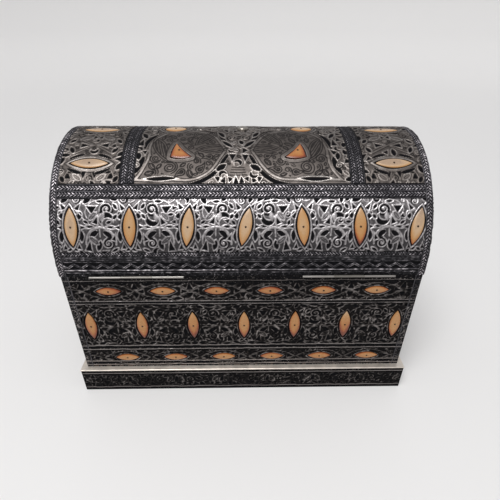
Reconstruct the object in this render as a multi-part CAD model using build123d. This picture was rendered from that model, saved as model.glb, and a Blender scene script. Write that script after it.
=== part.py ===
from build123d import *
import math
import os

# A domed dowry chest: a cedar box on a planted plinth and a coopered barrel lid, both clad in thin
# embossed nickel sheet with almond-shaped bone inlays.  Millimetres, +Z up.  The front faces -Y, the
# hinges run along the back at +Y, left is -X, and the origin is on the floor under the box's middle.
# The lid's skin is measured by its "run": the way along the profile from the lower edge at the back,
# up over the crown and down to the lower edge at the front.

# Overall sizes
lid_width = 530.0
lid_depth = 306.8
rim_height = 6.0
dome_rise = 163.7
body_height = 185.9
plinth_height = 49.2
plinth_step_end = 10.7
plinth_step_long = 9.5
end_overhang = 2.2
long_overhang = 0.4
seam_gap = 0.3

# Wood
board_thickness = 12.0
bottom_thickness = 9.0
bottom_rise = 14.0
board_foot = 3.0
stave_thickness = 10.0
stave_count = 9
rail_run = 30.0

# Sheet metal
sheet_thickness = 1.0
bead_radius = 0.9
ledge_thickness = 1.8
ledge_nose = 1.2
plinth_sheet_foot = 0.6
plinth_bead_drop = 8.0
plinth_bead_lift = 7.6
corner_width = 11.0
corner_thickness = 0.8
upper_bead_drops = (8.0, 46.0, 50.8)
lower_bead_lifts = (47.9, 39.7, 12.3, 4.3)
binding_width = 10.5
rim_strip_run = 39.0
rim_bead_runs = (10.6, 23.0, 34.5)
band_run = 74.5
long_strip_run = 22.5
long_bead_inset = 6.5
long_bead_radius = 1.6
cross_strip_share = 0.566
cross_strip_width = 22.0
cross_bead_inset = 6.0
cross_bead_width = 3.2

# Bone inlays
pitches_across = 6.625
pitches_deep = 3.835
bone_stand = 1.6
bone_bevel = 0.7
window_clearance = 0.15
upright_bone = (53.0, 16.2)
level_bone = (36.0, 12.8)
low_bone = (37.0, 13.2)
panel_bone = (52.0, 15.0)
crown_bone = (32.0, 21.5)
petal_bone = (29.0, 30.0, 8.0)
petal_belly = 0.6
lid_bone_run = 75.0
top_bone_drop = 27.0
mid_bone_sink = 1.1
low_bone_lift = 20.9
panel_bone_run = 167.5
panel_bone_shift = 1.7
panel_crown_step = 5.0
petal_share = 0.547
petal_run = 191.0
crown_bone_share = 0.647
centre_panel_shift = 6.0
lid_row_shift = -3.0
mid_row_shift = 1.0
low_row_shift = 7.0
end_bone_spread = 74.0
end_bone_rise = 62.0
end_bone_lean = 24.0

# Crown boss
boss_radius = 8.0
boss_height = 4.0

# Hinges
hinge_share = 0.581
hinge_length = 136.0
knuckle_gap = 0.8
barrel_radius = 1.7
pin_radius = 1.0
running_clearance = 0.05
barrel_standoff = 2.6
leaf_width = 12.8
leaf_thickness = 1.2
pocket_clearance = 0.1
screw_spacing = 90.0
screw_setback = 6.6
screw_radius = 1.2
screw_head_radius = 2.4
screw_head_depth = 1.0
screw_length = 9.0

# Hasp and staple
hasp_width = 30.0
hasp_plate_run = 38.0
hasp_plate_thickness = 0.8
hasp_axis_rise = 7.0
hasp_standoff = 2.3
hasp_barrel_radius = 2.0
hasp_knuckle_gap = 0.4
strap_width = 20.0
strap_thickness = 1.4
strap_length = 58.0
strap_lean = 4.0
slot_drop = 40.0
slot_height = 18.0
slot_width = 5.2
staple_plate_width = 24.0
staple_plate_height = 22.0
staple_rod_radius = 1.3
staple_half_height = 5.5
staple_reach = 8.1
staple_bend = 3.0

# Drop handles
handle_drop = 64.0
handle_half_span = 50.0
bail_rod_radius = 2.0
bail_hang = 46.0
bail_overrun = 10.0
bail_bend = 9.0
bail_tail = 4.5
eye_radius = 4.2
eye_width = 5.0
eye_standoff = 5.4
rosette_radius = 11.0
rosette_thickness = 1.4

# Worked out from the sizes above
half_lid = lid_width / 2
half_lid_depth = lid_depth / 2
half_body = half_lid - end_overhang
half_body_depth = half_lid_depth - long_overhang
seam = plinth_height + body_height
lid_foot = seam + seam_gap
rim_top = lid_foot + rim_height
wood_half = half_body - sheet_thickness
wood_half_depth = half_body_depth - sheet_thickness
plinth_half = half_body + plinth_step_end
plinth_half_depth = half_body_depth + plinth_step_long
hinge_y = half_lid_depth + barrel_standoff
hinge_z = seam + seam_gap / 2
hinge_centre = hinge_share * half_lid
cross_strip_inner = cross_strip_share * half_lid
cross_strip_outer = cross_strip_inner + cross_strip_width
panel_bone_centre = (cross_strip_outer + half_lid - binding_width) / 2 + panel_bone_shift
petal_centre = petal_share * cross_strip_inner
crown_bone_centre = crown_bone_share * cross_strip_inner
bone_pitch = lid_width / pitches_across
end_bone_pitch = lid_depth / pitches_deep
body_bead_drops = upper_bead_drops + tuple(body_height - lift for lift in lower_bead_lifts)
mid_bone_drop = (upper_bead_drops[-1] + body_height - lower_bead_lifts[0]) / 2 + mid_bone_sink
low_bone_drop = body_height - low_bone_lift
reach = 4 * lid_width


def box(low, high):
    """A block between two corners."""
    size = [b - a for a, b in zip(low, high)]
    middle = [(a + b) / 2 for a, b in zip(low, high)]
    return Pos(*middle) * Box(*size)


def rod(start, end, radius):
    """A round bar between two points."""
    way = Vector(*end) - Vector(*start)
    return extrude(Plane(origin=start, z_dir=way) * Circle(radius), amount=way.length)


def almond(length, width):
    """A pointed almond of two arcs, lying along X."""
    tip, belly = length / 2, width / 2
    upper = ThreePointArc((-tip, 0), (0, belly), (tip, 0))
    lower = ThreePointArc((tip, 0), (0, -belly), (-tip, 0))
    return make_face([upper, lower])


def petal(width, height, lean):
    """A three-sided petal: a point towards +Y that leans to one side, and a rounded foot."""
    foot = -0.3 * height
    tip = (lean, height / 2)
    sides = []
    for side in (-1, 1):
        corner = (side * width / 2, foot)
        belly = ((tip[0] + corner[0]) / 2 + side * petal_belly, (tip[1] + corner[1]) / 2)
        sides.append(ThreePointArc(tip, belly, corner))
    base = ThreePointArc((-width / 2, foot), (0, -height / 2), (width / 2, foot))
    return make_face([sides[0], base, sides[1]])


# ---------------------------------------------------------------- the lid's profile

def dome_table(steps=720):
    """The run at each step of the half ellipse, from back to front."""
    runs = [rim_height]
    for i in range(steps):
        t = math.pi * (i + 0.5) / steps
        pace = math.hypot(half_lid_depth * math.sin(t), dome_rise * math.cos(t))
        runs.append(runs[-1] + pace * math.pi / steps)
    return runs


dome_runs = dome_table()
full_run = dome_runs[-1] + rim_height
crown_run = full_run / 2


def lid_spot(run):
    """Place (y, z) and outward normal (y, z) of the lid's skin at a run."""
    if run <= rim_height:
        return (half_lid_depth, lid_foot + run), (1.0, 0.0)
    if run >= full_run - rim_height:
        return (-half_lid_depth, lid_foot + full_run - run), (-1.0, 0.0)
    i = max(k for k, passed in enumerate(dome_runs) if passed <= run)
    i = min(i, len(dome_runs) - 2)
    part = (run - dome_runs[i]) / (dome_runs[i + 1] - dome_runs[i])
    t = math.pi * (i + part) / (len(dome_runs) - 1)
    spot = (half_lid_depth * math.cos(t), rim_top + dome_rise * math.sin(t))
    normal = (dome_rise * math.cos(t), half_lid_depth * math.sin(t))
    size = math.hypot(*normal)
    return spot, (normal[0] / size, normal[1] / size)


def lid_plane(x, run):
    """A plane on the lid's skin: its x is +X, its normal points outwards."""
    spot, normal = lid_spot(run)
    return Plane(origin=(x, *spot), x_dir=(1, 0, 0), z_dir=(0, *normal))


def lid_section(inset):
    """The lid's whole profile in (y, z), moved in from the skin."""
    dome = Ellipse(half_lid_depth - inset, dome_rise - inset)
    upper_half = Pos(0, reach / 2) * Rectangle(reach, reach)
    rim = Pos(0, -rim_height / 2) * Rectangle(2 * (half_lid_depth - inset), rim_height)
    return Pos(0, rim_top) * (dome & upper_half) + Pos(0, rim_top) * rim


def side_of(run, onward):
    """All of the profile's plane on one side of the normal at a run."""
    spot, normal = lid_spot(run)
    way = math.degrees(math.atan2(normal[1], normal[0])) + (90 if onward else -90)
    return Pos(*spot) * Rot(Z=way) * Pos(reach / 2, 0) * Rectangle(reach, 2 * reach)


def lid_shell(outer, inner, x0, x1, start=None, end=None):
    """Part of the lid between two insets, two stations along X and two runs."""
    ring = lid_section(outer) - lid_section(inner)
    if start is not None:
        ring = ring & side_of(start, True)
    if end is not None:
        ring = ring & side_of(end, False)
    return extrude(Plane.YZ.offset(x0) * ring, amount=x1 - x0)


# ---------------------------------------------------------------- bones and their windows

def row(half_length, width, pitch, shift, odd):
    """Centres of a row of inlays that fits between two ends."""
    start = 0.0 if odd else pitch / 2
    centres = []
    k = start
    while k + abs(shift) + width / 2 < half_length:
        centres += [shift + k] if k == 0 else [shift - k, shift + k]
        k += pitch
    return sorted(centres)


def outline(kind, clearance=0.0):
    """The flat outline of an inlay, or of the window round it: a petal, or an almond."""
    size = [length + 3 * clearance for length in kind[:2]]
    return petal(*size, kind[2]) if len(kind) > 2 else almond(*size)


def bevelled(block, normal):
    """The block with the edges of its outermost face bevelled."""
    outer = [face for face in block.faces() if face.normal_at().dot(normal) > math.cos(math.radians(30))]
    return chamfer(outer[0].edges(), bone_bevel)


def bone(plane, kind, turn):
    """One inlay: it starts on the wood and stands proud of the sheet."""
    base = plane.offset(-sheet_thickness)
    shape = Rot(Z=turn) * outline(kind)
    return bevelled(extrude(base * shape, amount=sheet_thickness + bone_stand), plane.z_dir)


def window(plane, kind, turn):
    """The hole in the sheet round an inlay."""
    depth = 4 * sheet_thickness
    shape = Rot(Z=turn) * outline(kind, window_clearance)
    return extrude(plane.offset(-depth) * shape, amount=2 * depth)


def lid_bone(x, run, kind, turn):
    """An inlay that is bent to the lid's curve."""
    skin = lid_plane(x, run)
    depth = 2 * sheet_thickness + 2 * bone_stand
    shape = Rot(Z=turn) * outline(kind)
    block = extrude(skin.offset(-depth) * shape, amount=2 * depth)
    bent = block & lid_shell(-bone_stand, sheet_thickness, x - kind[0], x + kind[0])
    return bevelled(bent.solids()[0], skin.z_dir)


def lid_band_spots(side):
    """(x, run, kind, turn) of the upright inlays in the lid's front or back band."""
    half = half_lid - binding_width
    run = lid_bone_run if side == "back" else full_run - lid_bone_run
    shift = lid_row_shift if side == "back" else 0.0
    tilts = (-12, 1, 5, -12, -6, -1, 2) if side == "back" else (3, -4, 2, 0, -3, 4, -2)
    centres = row(half, upright_bone[1], bone_pitch, shift, odd=True)
    spots = []
    for i, x in enumerate(centres):
        if side == "front" and abs(x) < bone_pitch / 2:
            continue
        spots.append((x, run, upright_bone, 90 + tilts[i % len(tilts)]))
    return spots


def end_panel_spots():
    """The level inlays of the two outer panels of the lid's top."""
    runs = (panel_bone_run, crown_run - panel_crown_step, full_run - panel_bone_run)
    return [(side * panel_bone_centre, run, panel_bone, 0) for side in (-1, 1) for run in runs]


def centre_panel_spots():
    """Four petals that point at the crown, and two broad almonds on it."""
    width, height, lean = petal_bone
    spots = []
    for side in (-1, 1):
        x = centre_panel_shift + side * petal_centre
        spots.append((x, petal_run, (width, height, -side * lean), 180))
        spots.append((x, full_run - petal_run, (width, height, side * lean), 0))
        spots.append((centre_panel_shift + side * crown_bone_centre, crown_run, crown_bone, 0))
    return spots


def wall_spots(half_length, long_side):
    """(along, height, kind, turn) of the inlays of one wall of the box."""
    free = half_length - corner_width
    shifts = (0.0, mid_row_shift, low_row_shift) if long_side else (0.0, 0.0, 0.0)
    pitch = bone_pitch if long_side else end_bone_pitch
    rows = (
        (top_bone_drop, level_bone, level_bone[0], shifts[0], False, 0),
        (mid_bone_drop, upright_bone, upright_bone[1], shifts[1], True, 90),
        (low_bone_drop, low_bone, low_bone[0], shifts[2], False, 0),
    )
    spots = []
    for drop, kind, width, shift, odd, turn in rows:
        for along in row(free, width, pitch, shift, odd):
            spots.append((along, seam - drop, kind, turn))
    return spots


def wall_plane(side, along, height):
    """A plane on one wall's sheet, with its normal outwards and its y upwards."""
    if side == "front":
        return Plane(origin=(along, -half_body_depth, height), x_dir=(1, 0, 0), z_dir=(0, -1, 0))
    if side == "back":
        return Plane(origin=(along, half_body_depth, height), x_dir=(-1, 0, 0), z_dir=(0, 1, 0))
    if side == "left":
        return Plane(origin=(-half_body, along, height), x_dir=(0, -1, 0), z_dir=(-1, 0, 0))
    return Plane(origin=(half_body, along, height), x_dir=(0, 1, 0), z_dir=(1, 0, 0))


# ---------------------------------------------------------------- the box

def mitred_frame(inner, outer, low, high):
    """Four mitred pieces between two rectangles given by their half sizes."""
    corners = ((-1, -1), (1, -1), (1, 1), (-1, 1))
    pieces = {}
    for i, name in enumerate(("front", "right", "back", "left")):
        a, b = corners[i], corners[(i + 1) % 4]
        points = [(half[0] * c[0], half[1] * c[1]) for half, c in
                  ((inner, a), (inner, b), (outer, b), (outer, a))]
        pieces[name] = extrude(Pos(0, 0, low) * make_face(Polyline(*points, close=True)),
                               amount=high - low)
    return pieces


def leaf_pocket(x, in_lid):
    """The shallow mortise that one hinge leaf lies in."""
    half = hinge_length / 2 + pocket_clearance
    low = lid_foot if in_lid else seam - leaf_thickness
    return box((x - half, half_lid_depth - leaf_width - pocket_clearance, low),
               (x + half, hinge_y, low + leaf_thickness))


def screw_places(x):
    """Where one leaf's screws stand, as (x, y)."""
    y = half_lid_depth - screw_setback
    return [(x - screw_spacing / 2, y), (x + screw_spacing / 2, y)]


def screw(x, y, in_lid):
    """A countersunk screw driven away from the seam, flush with its leaf."""
    way = 1 if in_lid else -1
    start = lid_foot if in_lid else seam
    plane = Plane(origin=(x, y, start), x_dir=(1, 0, 0), z_dir=(0, 0, way))
    head = extrude(plane * Circle(screw_head_radius), amount=screw_head_depth,
                   taper=math.degrees(math.atan((screw_head_radius - screw_radius) / screw_head_depth)))
    return head + extrude(plane * Circle(screw_radius), amount=screw_length)


def hinge_screws(in_lid):
    """All the screws of one side of both hinges."""
    return [screw(x, y, in_lid) for side in (-1, 1) for x, y in screw_places(side * hinge_centre)]


def wall_boards():
    """Front and back run the whole width, the ends stand between them."""
    inner_depth = wood_half_depth - board_thickness
    back = box((-wood_half, inner_depth, board_foot), (wood_half, wood_half_depth, seam))
    for side in (-1, 1):
        back -= leaf_pocket(side * hinge_centre, in_lid=False)
    for piece in hinge_screws(in_lid=False):
        back -= piece
    front = box((-wood_half, -wood_half_depth, board_foot), (wood_half, -inner_depth, seam))
    ends = {}
    for name, side in (("left", -1), ("right", 1)):
        x = sorted((side * wood_half, side * (wood_half - board_thickness)))
        ends[name] = box((x[0], -inner_depth, board_foot), (x[1], inner_depth, seam))
    return front, back, ends["left"], ends["right"]


def bottom_board():
    """The floor of the chest, let in between the four walls."""
    x, y = wood_half - board_thickness, wood_half_depth - board_thickness
    return box((-x, -y, bottom_rise), (x, y, bottom_rise + bottom_thickness))


def plinth():
    """Planted rails, their sheets with two beads, and the polished ledge on top."""
    rail_top = plinth_height - ledge_thickness
    skin = sheet_thickness + bead_radius
    body = (wood_half, wood_half_depth)
    wood = (plinth_half - skin, plinth_half_depth - skin)
    face = (plinth_half - bead_radius, plinth_half_depth - bead_radius)
    rim = (plinth_half, plinth_half_depth)
    rails = mitred_frame(body, wood, 0.0, rail_top)
    sheets = mitred_frame(wood, face, plinth_sheet_foot, rail_top)
    ledges = mitred_frame((half_body, half_body_depth), rim, rail_top, plinth_height)
    heights = (plinth_bead_lift, plinth_height - plinth_bead_drop)
    for name, sheet in sheets.items():
        for z in heights:
            bead = mitred_frame(face, rim, z - bead_radius, z + bead_radius)[name]
            sheet += bead
        sheets[name] = sheet
        ledge = ledges[name]
        nose = ledge.edges().filter_by(lambda e: e.length > half_body_depth)
        nose = nose.group_by(Axis.Z)[-1].sort_by(lambda e: e.length)[-1]
        ledges[name] = fillet(nose, ledge_nose)
    return rails, sheets, ledges


def wall_sheet(side):
    """The sheet of one wall: windows for the bones and level beads between the bands."""
    long_side = side in ("front", "back")
    half = half_body if long_side else half_body_depth - sheet_thickness
    free = half_body if long_side else half_body_depth
    middle = wall_plane(side, 0.0, (plinth_height + seam) / 2)
    sheet = extrude(middle * Rectangle(2 * half, body_height), amount=-sheet_thickness)
    for along, height, kind, turn in wall_spots(free, long_side):
        sheet -= window(wall_plane(side, along, height), kind, turn)
    half_round = Circle(bead_radius) & Pos(reach / 2, 0) * Rectangle(reach, reach)
    for drop in body_bead_drops:
        spot = wall_plane(side, 0.0, seam - drop)
        section = Plane(origin=spot.origin - spot.x_dir * (free - corner_width),
                        x_dir=spot.z_dir, z_dir=spot.x_dir)
        sheet += extrude(section * half_round, amount=2 * (free - corner_width))
    if side == "back":
        for x in (-hinge_centre, hinge_centre):
            sheet -= leaf_pocket(x, in_lid=False)
    return sheet


def wall_bones(side):
    """The inlays of one wall."""
    long_side = side in ("front", "back")
    free = half_body if long_side else half_body_depth
    return [bone(wall_plane(side, along, height), kind, turn)
            for along, height, kind, turn in wall_spots(free, long_side)]


def corner_strips():
    """An angle strip over each upright corner."""
    strips = []
    outer = (half_body + corner_thickness, half_body_depth + corner_thickness)
    for sx in (-1, 1):
        for sy in (-1, 1):
            angle = box((outer[0] - corner_width, outer[1] - corner_width, plinth_height),
                        (outer[0], outer[1], seam))
            angle -= box((0, 0, 0), (half_body, half_body_depth, reach))
            flipped = angle if sx > 0 else mirror(angle, Plane.YZ)
            strips.append(flipped if sy > 0 else mirror(flipped, Plane.XZ))
    return strips


# ---------------------------------------------------------------- the lid

def lid_wood():
    """Two lower rails, the coopered staves between them and the two end boards."""
    x = half_lid - sheet_thickness
    inner = sheet_thickness + stave_thickness
    back = lid_shell(sheet_thickness, inner, -x, x, end=rail_run)
    back = back & box((-reach, 0, 0), (reach, reach, reach))
    front = mirror(back, Plane.XZ)
    for side in (-1, 1):
        back -= leaf_pocket(side * hinge_centre, in_lid=True)
    for piece in hinge_screws(in_lid=True):
        back -= piece
    stave_run = (full_run - 2 * rail_run) / stave_count
    staves = []
    for i in range(stave_count):
        start = rail_run + i * stave_run
        staves.append(lid_shell(sheet_thickness, inner, -x, x, start, start + stave_run))
    ends = []
    for x0 in (-x, x - board_thickness):
        ends.append(extrude(Plane.YZ.offset(x0) * lid_section(inner), amount=board_thickness))
    return front, back, staves, ends


def rim_strip(side):
    """The lid's lowest strip, with three beads and pockets for the hinge leaves."""
    x = half_lid - binding_width
    strip = lid_shell(0.0, sheet_thickness, -x, x, end=rim_strip_run)
    strip = strip & box((-reach, 0, 0), (reach, reach, reach))
    for run in rim_bead_runs:
        spot, normal = lid_spot(run)
        low = [c - sheet_thickness / 2 * n for c, n in zip(spot, normal)]
        strip += rod((-x, *low), (x, *low), bead_radius + sheet_thickness / 2)
    strip -= extrude(Plane.YZ.offset(-reach) * lid_section(sheet_thickness), amount=2 * reach)
    if side == "front":
        return mirror(strip, Plane.XZ) - hasp_seat()
    for x in (-hinge_centre, hinge_centre):
        strip -= leaf_pocket(x, in_lid=True)
    return strip


def band_sheet(side):
    """The wide embossed band above a rim strip, with its windows."""
    x = half_lid - binding_width
    run = rim_strip_run if side == "back" else full_run - rim_strip_run - band_run
    sheet = lid_shell(0.0, sheet_thickness, -x, x, run, run + band_run)
    for x, at, kind, turn in lid_band_spots(side):
        sheet -= window(lid_plane(x, at), kind, turn)
    return sheet


def top_start():
    """The run at which the lid's top panels start."""
    return rim_strip_run + band_run + long_strip_run


def long_strips():
    """The two double beaded strips along the top's front and back edges."""
    x = half_lid - binding_width
    start = rim_strip_run + band_run
    back = lid_shell(0.0, sheet_thickness, -x, x, start, start + long_strip_run)
    for run in (start + long_bead_inset, start + long_strip_run - long_bead_inset):
        spot, normal = lid_spot(run)
        back += rod((-x, *spot), (x, *spot), long_bead_radius)
    back -= extrude(Plane.YZ.offset(-reach) * lid_section(sheet_thickness), amount=2 * reach)
    return [back, mirror(back, Plane.XZ)]


def cross_strips():
    """The two double beaded strips across the top, between its three panels."""
    start, end = top_start(), full_run - top_start()
    strips = []
    for side in (-1, 1):
        a, b = sorted((side * cross_strip_inner, side * cross_strip_outer))
        strip = lid_shell(0.0, sheet_thickness, a, b, start, end)
        for x in (a + cross_bead_inset, b - cross_bead_inset):
            half = cross_bead_width / 2
            strip += lid_shell(-bead_radius, sheet_thickness, x - half, x + half, start, end)
        strips.append(strip)
    return strips


def top_panels():
    """The three embossed panels of the lid's top, with their windows."""
    start, end = top_start(), full_run - top_start()
    edge = half_lid - binding_width
    panels = {
        "left": lid_shell(0.0, sheet_thickness, -edge, -cross_strip_outer, start, end),
        "centre": lid_shell(0.0, sheet_thickness, -cross_strip_inner, cross_strip_inner, start, end),
        "right": lid_shell(0.0, sheet_thickness, cross_strip_outer, edge, start, end),
    }
    for x, run, kind, turn in end_panel_spots():
        name = "left" if x < 0 else "right"
        panels[name] -= window(lid_plane(x, run), kind, turn)
    for x, run, kind, turn in centre_panel_spots():
        panels["centre"] -= window(lid_plane(x, run), kind, turn)
    return panels


def edge_bindings():
    """A strip over each end edge of the dome, from seam to seam."""
    pieces = []
    for side in (-1, 1):
        a, b = sorted((side * (half_lid - binding_width), side * half_lid))
        strip = lid_shell(0.0, sheet_thickness, a, b)
        inner = a if side > 0 else b - cross_bead_width
        strip += lid_shell(-bead_radius, sheet_thickness, inner, inner + cross_bead_width)
        pieces.append(strip)
    return pieces


def lid_end_spots():
    """(y, height, turn) of the three upright almonds on each end of the lid."""
    height = lid_foot + end_bone_rise
    return [(0.0, height, 90), (-end_bone_spread, height, 90 - end_bone_lean),
            (end_bone_spread, height, 90 + end_bone_lean)]


def lid_end_plane(side, y, height):
    """A plane on the end sheet of the lid, with its normal outwards."""
    return Plane(origin=(side * half_lid, y, height), x_dir=(0, 1, 0), z_dir=(side, 0, 0))


def lid_end(side):
    """The half-round end sheet, with its windows and a bead along its edge, and its inlays."""
    inner = half_lid - sheet_thickness
    start = inner if side > 0 else -half_lid
    sheet = extrude(Plane.YZ.offset(start) * lid_section(sheet_thickness), amount=sheet_thickness)
    bones = []
    for y, height, turn in lid_end_spots():
        plane = lid_end_plane(side, y, height)
        sheet -= window(plane, upright_bone, turn)
        bones.append(bone(plane, upright_bone, turn))
    return sheet, bones


def crown_boss():
    """The low knob in the middle of the crown."""
    top = lid_foot + rim_height + dome_rise
    cap = Pos(0, 0, top) * Cylinder(boss_radius, 2 * boss_height)
    cap = fillet(cap.edges().group_by(Axis.Z)[-1], 0.7 * boss_height)
    return cap - extrude(Plane.YZ.offset(-reach) * lid_section(0.0), amount=2 * reach)


# ---------------------------------------------------------------- hinges

def hinge_leaf(x, in_lid):
    """A leaf with its share of the three knuckles: the middle one, or the outer two."""
    half = hinge_length / 2
    third = hinge_length / 3
    low = lid_foot if in_lid else seam - leaf_thickness
    high = low + leaf_thickness
    edge = half_body_depth
    leaf = box((x - half, half_lid_depth - leaf_width, low), (x + half, edge, high))
    spans = [(x - third / 2, x + third / 2)] if in_lid else [(x - half, x - third / 2),
                                                            (x + third / 2, x + half)]
    for a, b in spans:
        a = a + knuckle_gap / 2
        b = b - knuckle_gap / 2
        leaf += box((a, edge - leaf_thickness, low), (b, hinge_y, high))
        leaf += rod((a, hinge_y, hinge_z), (b, hinge_y, hinge_z), barrel_radius)
    leaf -= rod((x - half, hinge_y, hinge_z), (x + half, hinge_y, hinge_z),
                pin_radius + running_clearance)
    for px, py in screw_places(x):
        leaf -= screw(px, py, in_lid)
    return leaf


def hinge_pin(x):
    """The pin through the three knuckles."""
    half = hinge_length / 2 - knuckle_gap / 2
    return rod((x - half, hinge_y, hinge_z), (x + half, hinge_y, hinge_z), pin_radius)


# ---------------------------------------------------------------- hasp

hasp_y = -half_lid_depth - hasp_standoff
hasp_z = lid_foot + hasp_axis_rise
staple_z = hasp_z - slot_drop


def hasp_seat():
    """The room over the lid's skin that the hasp's plate takes, where no bead runs."""
    half = hasp_width / 2
    end = full_run - hasp_axis_rise
    return lid_shell(-2 * bead_radius, 0.0, -half, half, end - hasp_plate_run, end)


def hasp_plate():
    """The bent plate on the lid with the two outer knuckles."""
    half = hasp_width / 2
    end = full_run - hasp_axis_rise
    plate = lid_shell(-hasp_plate_thickness, 0.0, -half, half, end - hasp_plate_run, end)
    third = hasp_width / 3
    for a, b in ((-half, -third / 2), (third / 2, half)):
        plate += rod((a, hasp_y, hasp_z), (b, hasp_y, hasp_z), hasp_barrel_radius)
    notch = third / 2 + hasp_knuckle_gap
    notch_top = hasp_z + hasp_barrel_radius + hasp_knuckle_gap
    plate -= box((-notch, -reach, hasp_z - reach), (notch, 0, notch_top))
    plate -= extrude(Plane.YZ.offset(-reach) * lid_section(0.0), amount=2 * reach)
    return plate - rod((-half, hasp_y, hasp_z), (half, hasp_y, hasp_z),
                       pin_radius + running_clearance)


def hasp_pin():
    """The pin of the hasp."""
    half = hasp_width / 2
    return rod((-half, hasp_y, hasp_z), (half, hasp_y, hasp_z), pin_radius)


def hasp_strap():
    """The slotted strap, drawn hanging over the staple and then thrown up against the lid."""
    third = hasp_width / 3
    round_end = strap_width / 2
    face = Pos(0, -(strap_length - round_end) / 2) * Rectangle(strap_width, strap_length - round_end)
    face += Pos(0, -(strap_length - round_end)) * Circle(round_end)
    neck = hasp_barrel_radius + 2 * hasp_knuckle_gap
    face -= Pos(0, -neck / 2) * Rectangle(2 * strap_width, neck)
    face += Pos(0, -neck / 2) * Rectangle(third - 2 * hasp_knuckle_gap, neck)
    face -= Pos(0, -slot_drop) * SlotOverall(slot_height, slot_width, rotation=90)
    plane = Plane(origin=(0, hasp_y, hasp_z), x_dir=(1, 0, 0), z_dir=(0, -1, 0))
    strap = extrude(plane * face, amount=strap_thickness / 2, both=True)
    half = third / 2 - hasp_knuckle_gap / 2
    strap += rod((-half, hasp_y, hasp_z), (half, hasp_y, hasp_z), hasp_barrel_radius)
    strap -= rod((-half, hasp_y, hasp_z), (half, hasp_y, hasp_z), pin_radius + running_clearance)
    return strap.rotate(Axis((0, hasp_y, hasp_z), (1, 0, 0)), -(180 + strap_lean))


def staple_plate():
    """The small plate that the staple is riveted into."""
    plane = Plane(origin=(0, -half_body_depth, staple_z), x_dir=(1, 0, 0), z_dir=(0, -1, 0))
    plate = extrude(plane * RectangleRounded(staple_plate_width, staple_plate_height, 3),
                    amount=hasp_plate_thickness)
    return plate


def staple():
    """The loop that the strap's slot drops over."""
    y0 = -half_body_depth - hasp_plate_thickness
    y1 = -half_body_depth - staple_reach
    low, high = staple_z - staple_half_height, staple_z + staple_half_height
    path = FilletPolyline((0, y0, high), (0, y1, high), (0, y1, low), (0, y0, low),
                          radius=staple_bend)
    start = Plane(origin=(0, y0, high), z_dir=(0, -1, 0))
    return sweep(start * Circle(staple_rod_radius), path=path)


# ---------------------------------------------------------------- drop handles

handle_z = seam - handle_drop
handle_x = half_body + eye_standoff


def handle_eyes():
    """Two rosettes with their eyes on the right end."""
    eyes = []
    for side in (-1, 1):
        y = side * handle_half_span
        eye = rod((half_body, y, handle_z), (half_body + rosette_thickness, y, handle_z),
                  rosette_radius)
        half = eye_width / 2
        eye += rod((handle_x, y - half, handle_z), (handle_x, y + half, handle_z), eye_radius)
        eye += box((half_body, y - half, handle_z - eye_radius / 2),
                   (handle_x, y + half, handle_z + eye_radius / 2))
        eye -= rod((handle_x, y - eye_width, handle_z), (handle_x, y + eye_width, handle_z),
                   bail_rod_radius + running_clearance)
        eyes.append(eye)
    return eyes


def bail():
    """The bent rod that hangs from the eyes of the right end."""
    inner = handle_half_span - eye_width / 2 - bail_tail
    outer = handle_half_span + bail_overrun
    low = handle_z - bail_hang
    path = FilletPolyline((handle_x, -inner, handle_z), (handle_x, -outer, handle_z),
                          (handle_x, -outer, low), (handle_x, outer, low),
                          (handle_x, outer, handle_z), (handle_x, inner, handle_z),
                          radius=bail_bend - bail_rod_radius)
    start = Plane(origin=(handle_x, -inner, handle_z), z_dir=(0, -1, 0))
    return sweep(start * Circle(bail_rod_radius), path=path)


# ---------------------------------------------------------------- files

def save(name, shapes):
    """Writes one node: a solid, or a group of separate solids."""
    solids = []
    for shape in shapes if isinstance(shapes, list) else [shapes]:
        solids += list(shape.solids())
    node = solids[0] if len(solids) == 1 else Compound(children=solids)
    node.label = name
    export_step(node, os.path.join("parts", name + ".step"))


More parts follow.
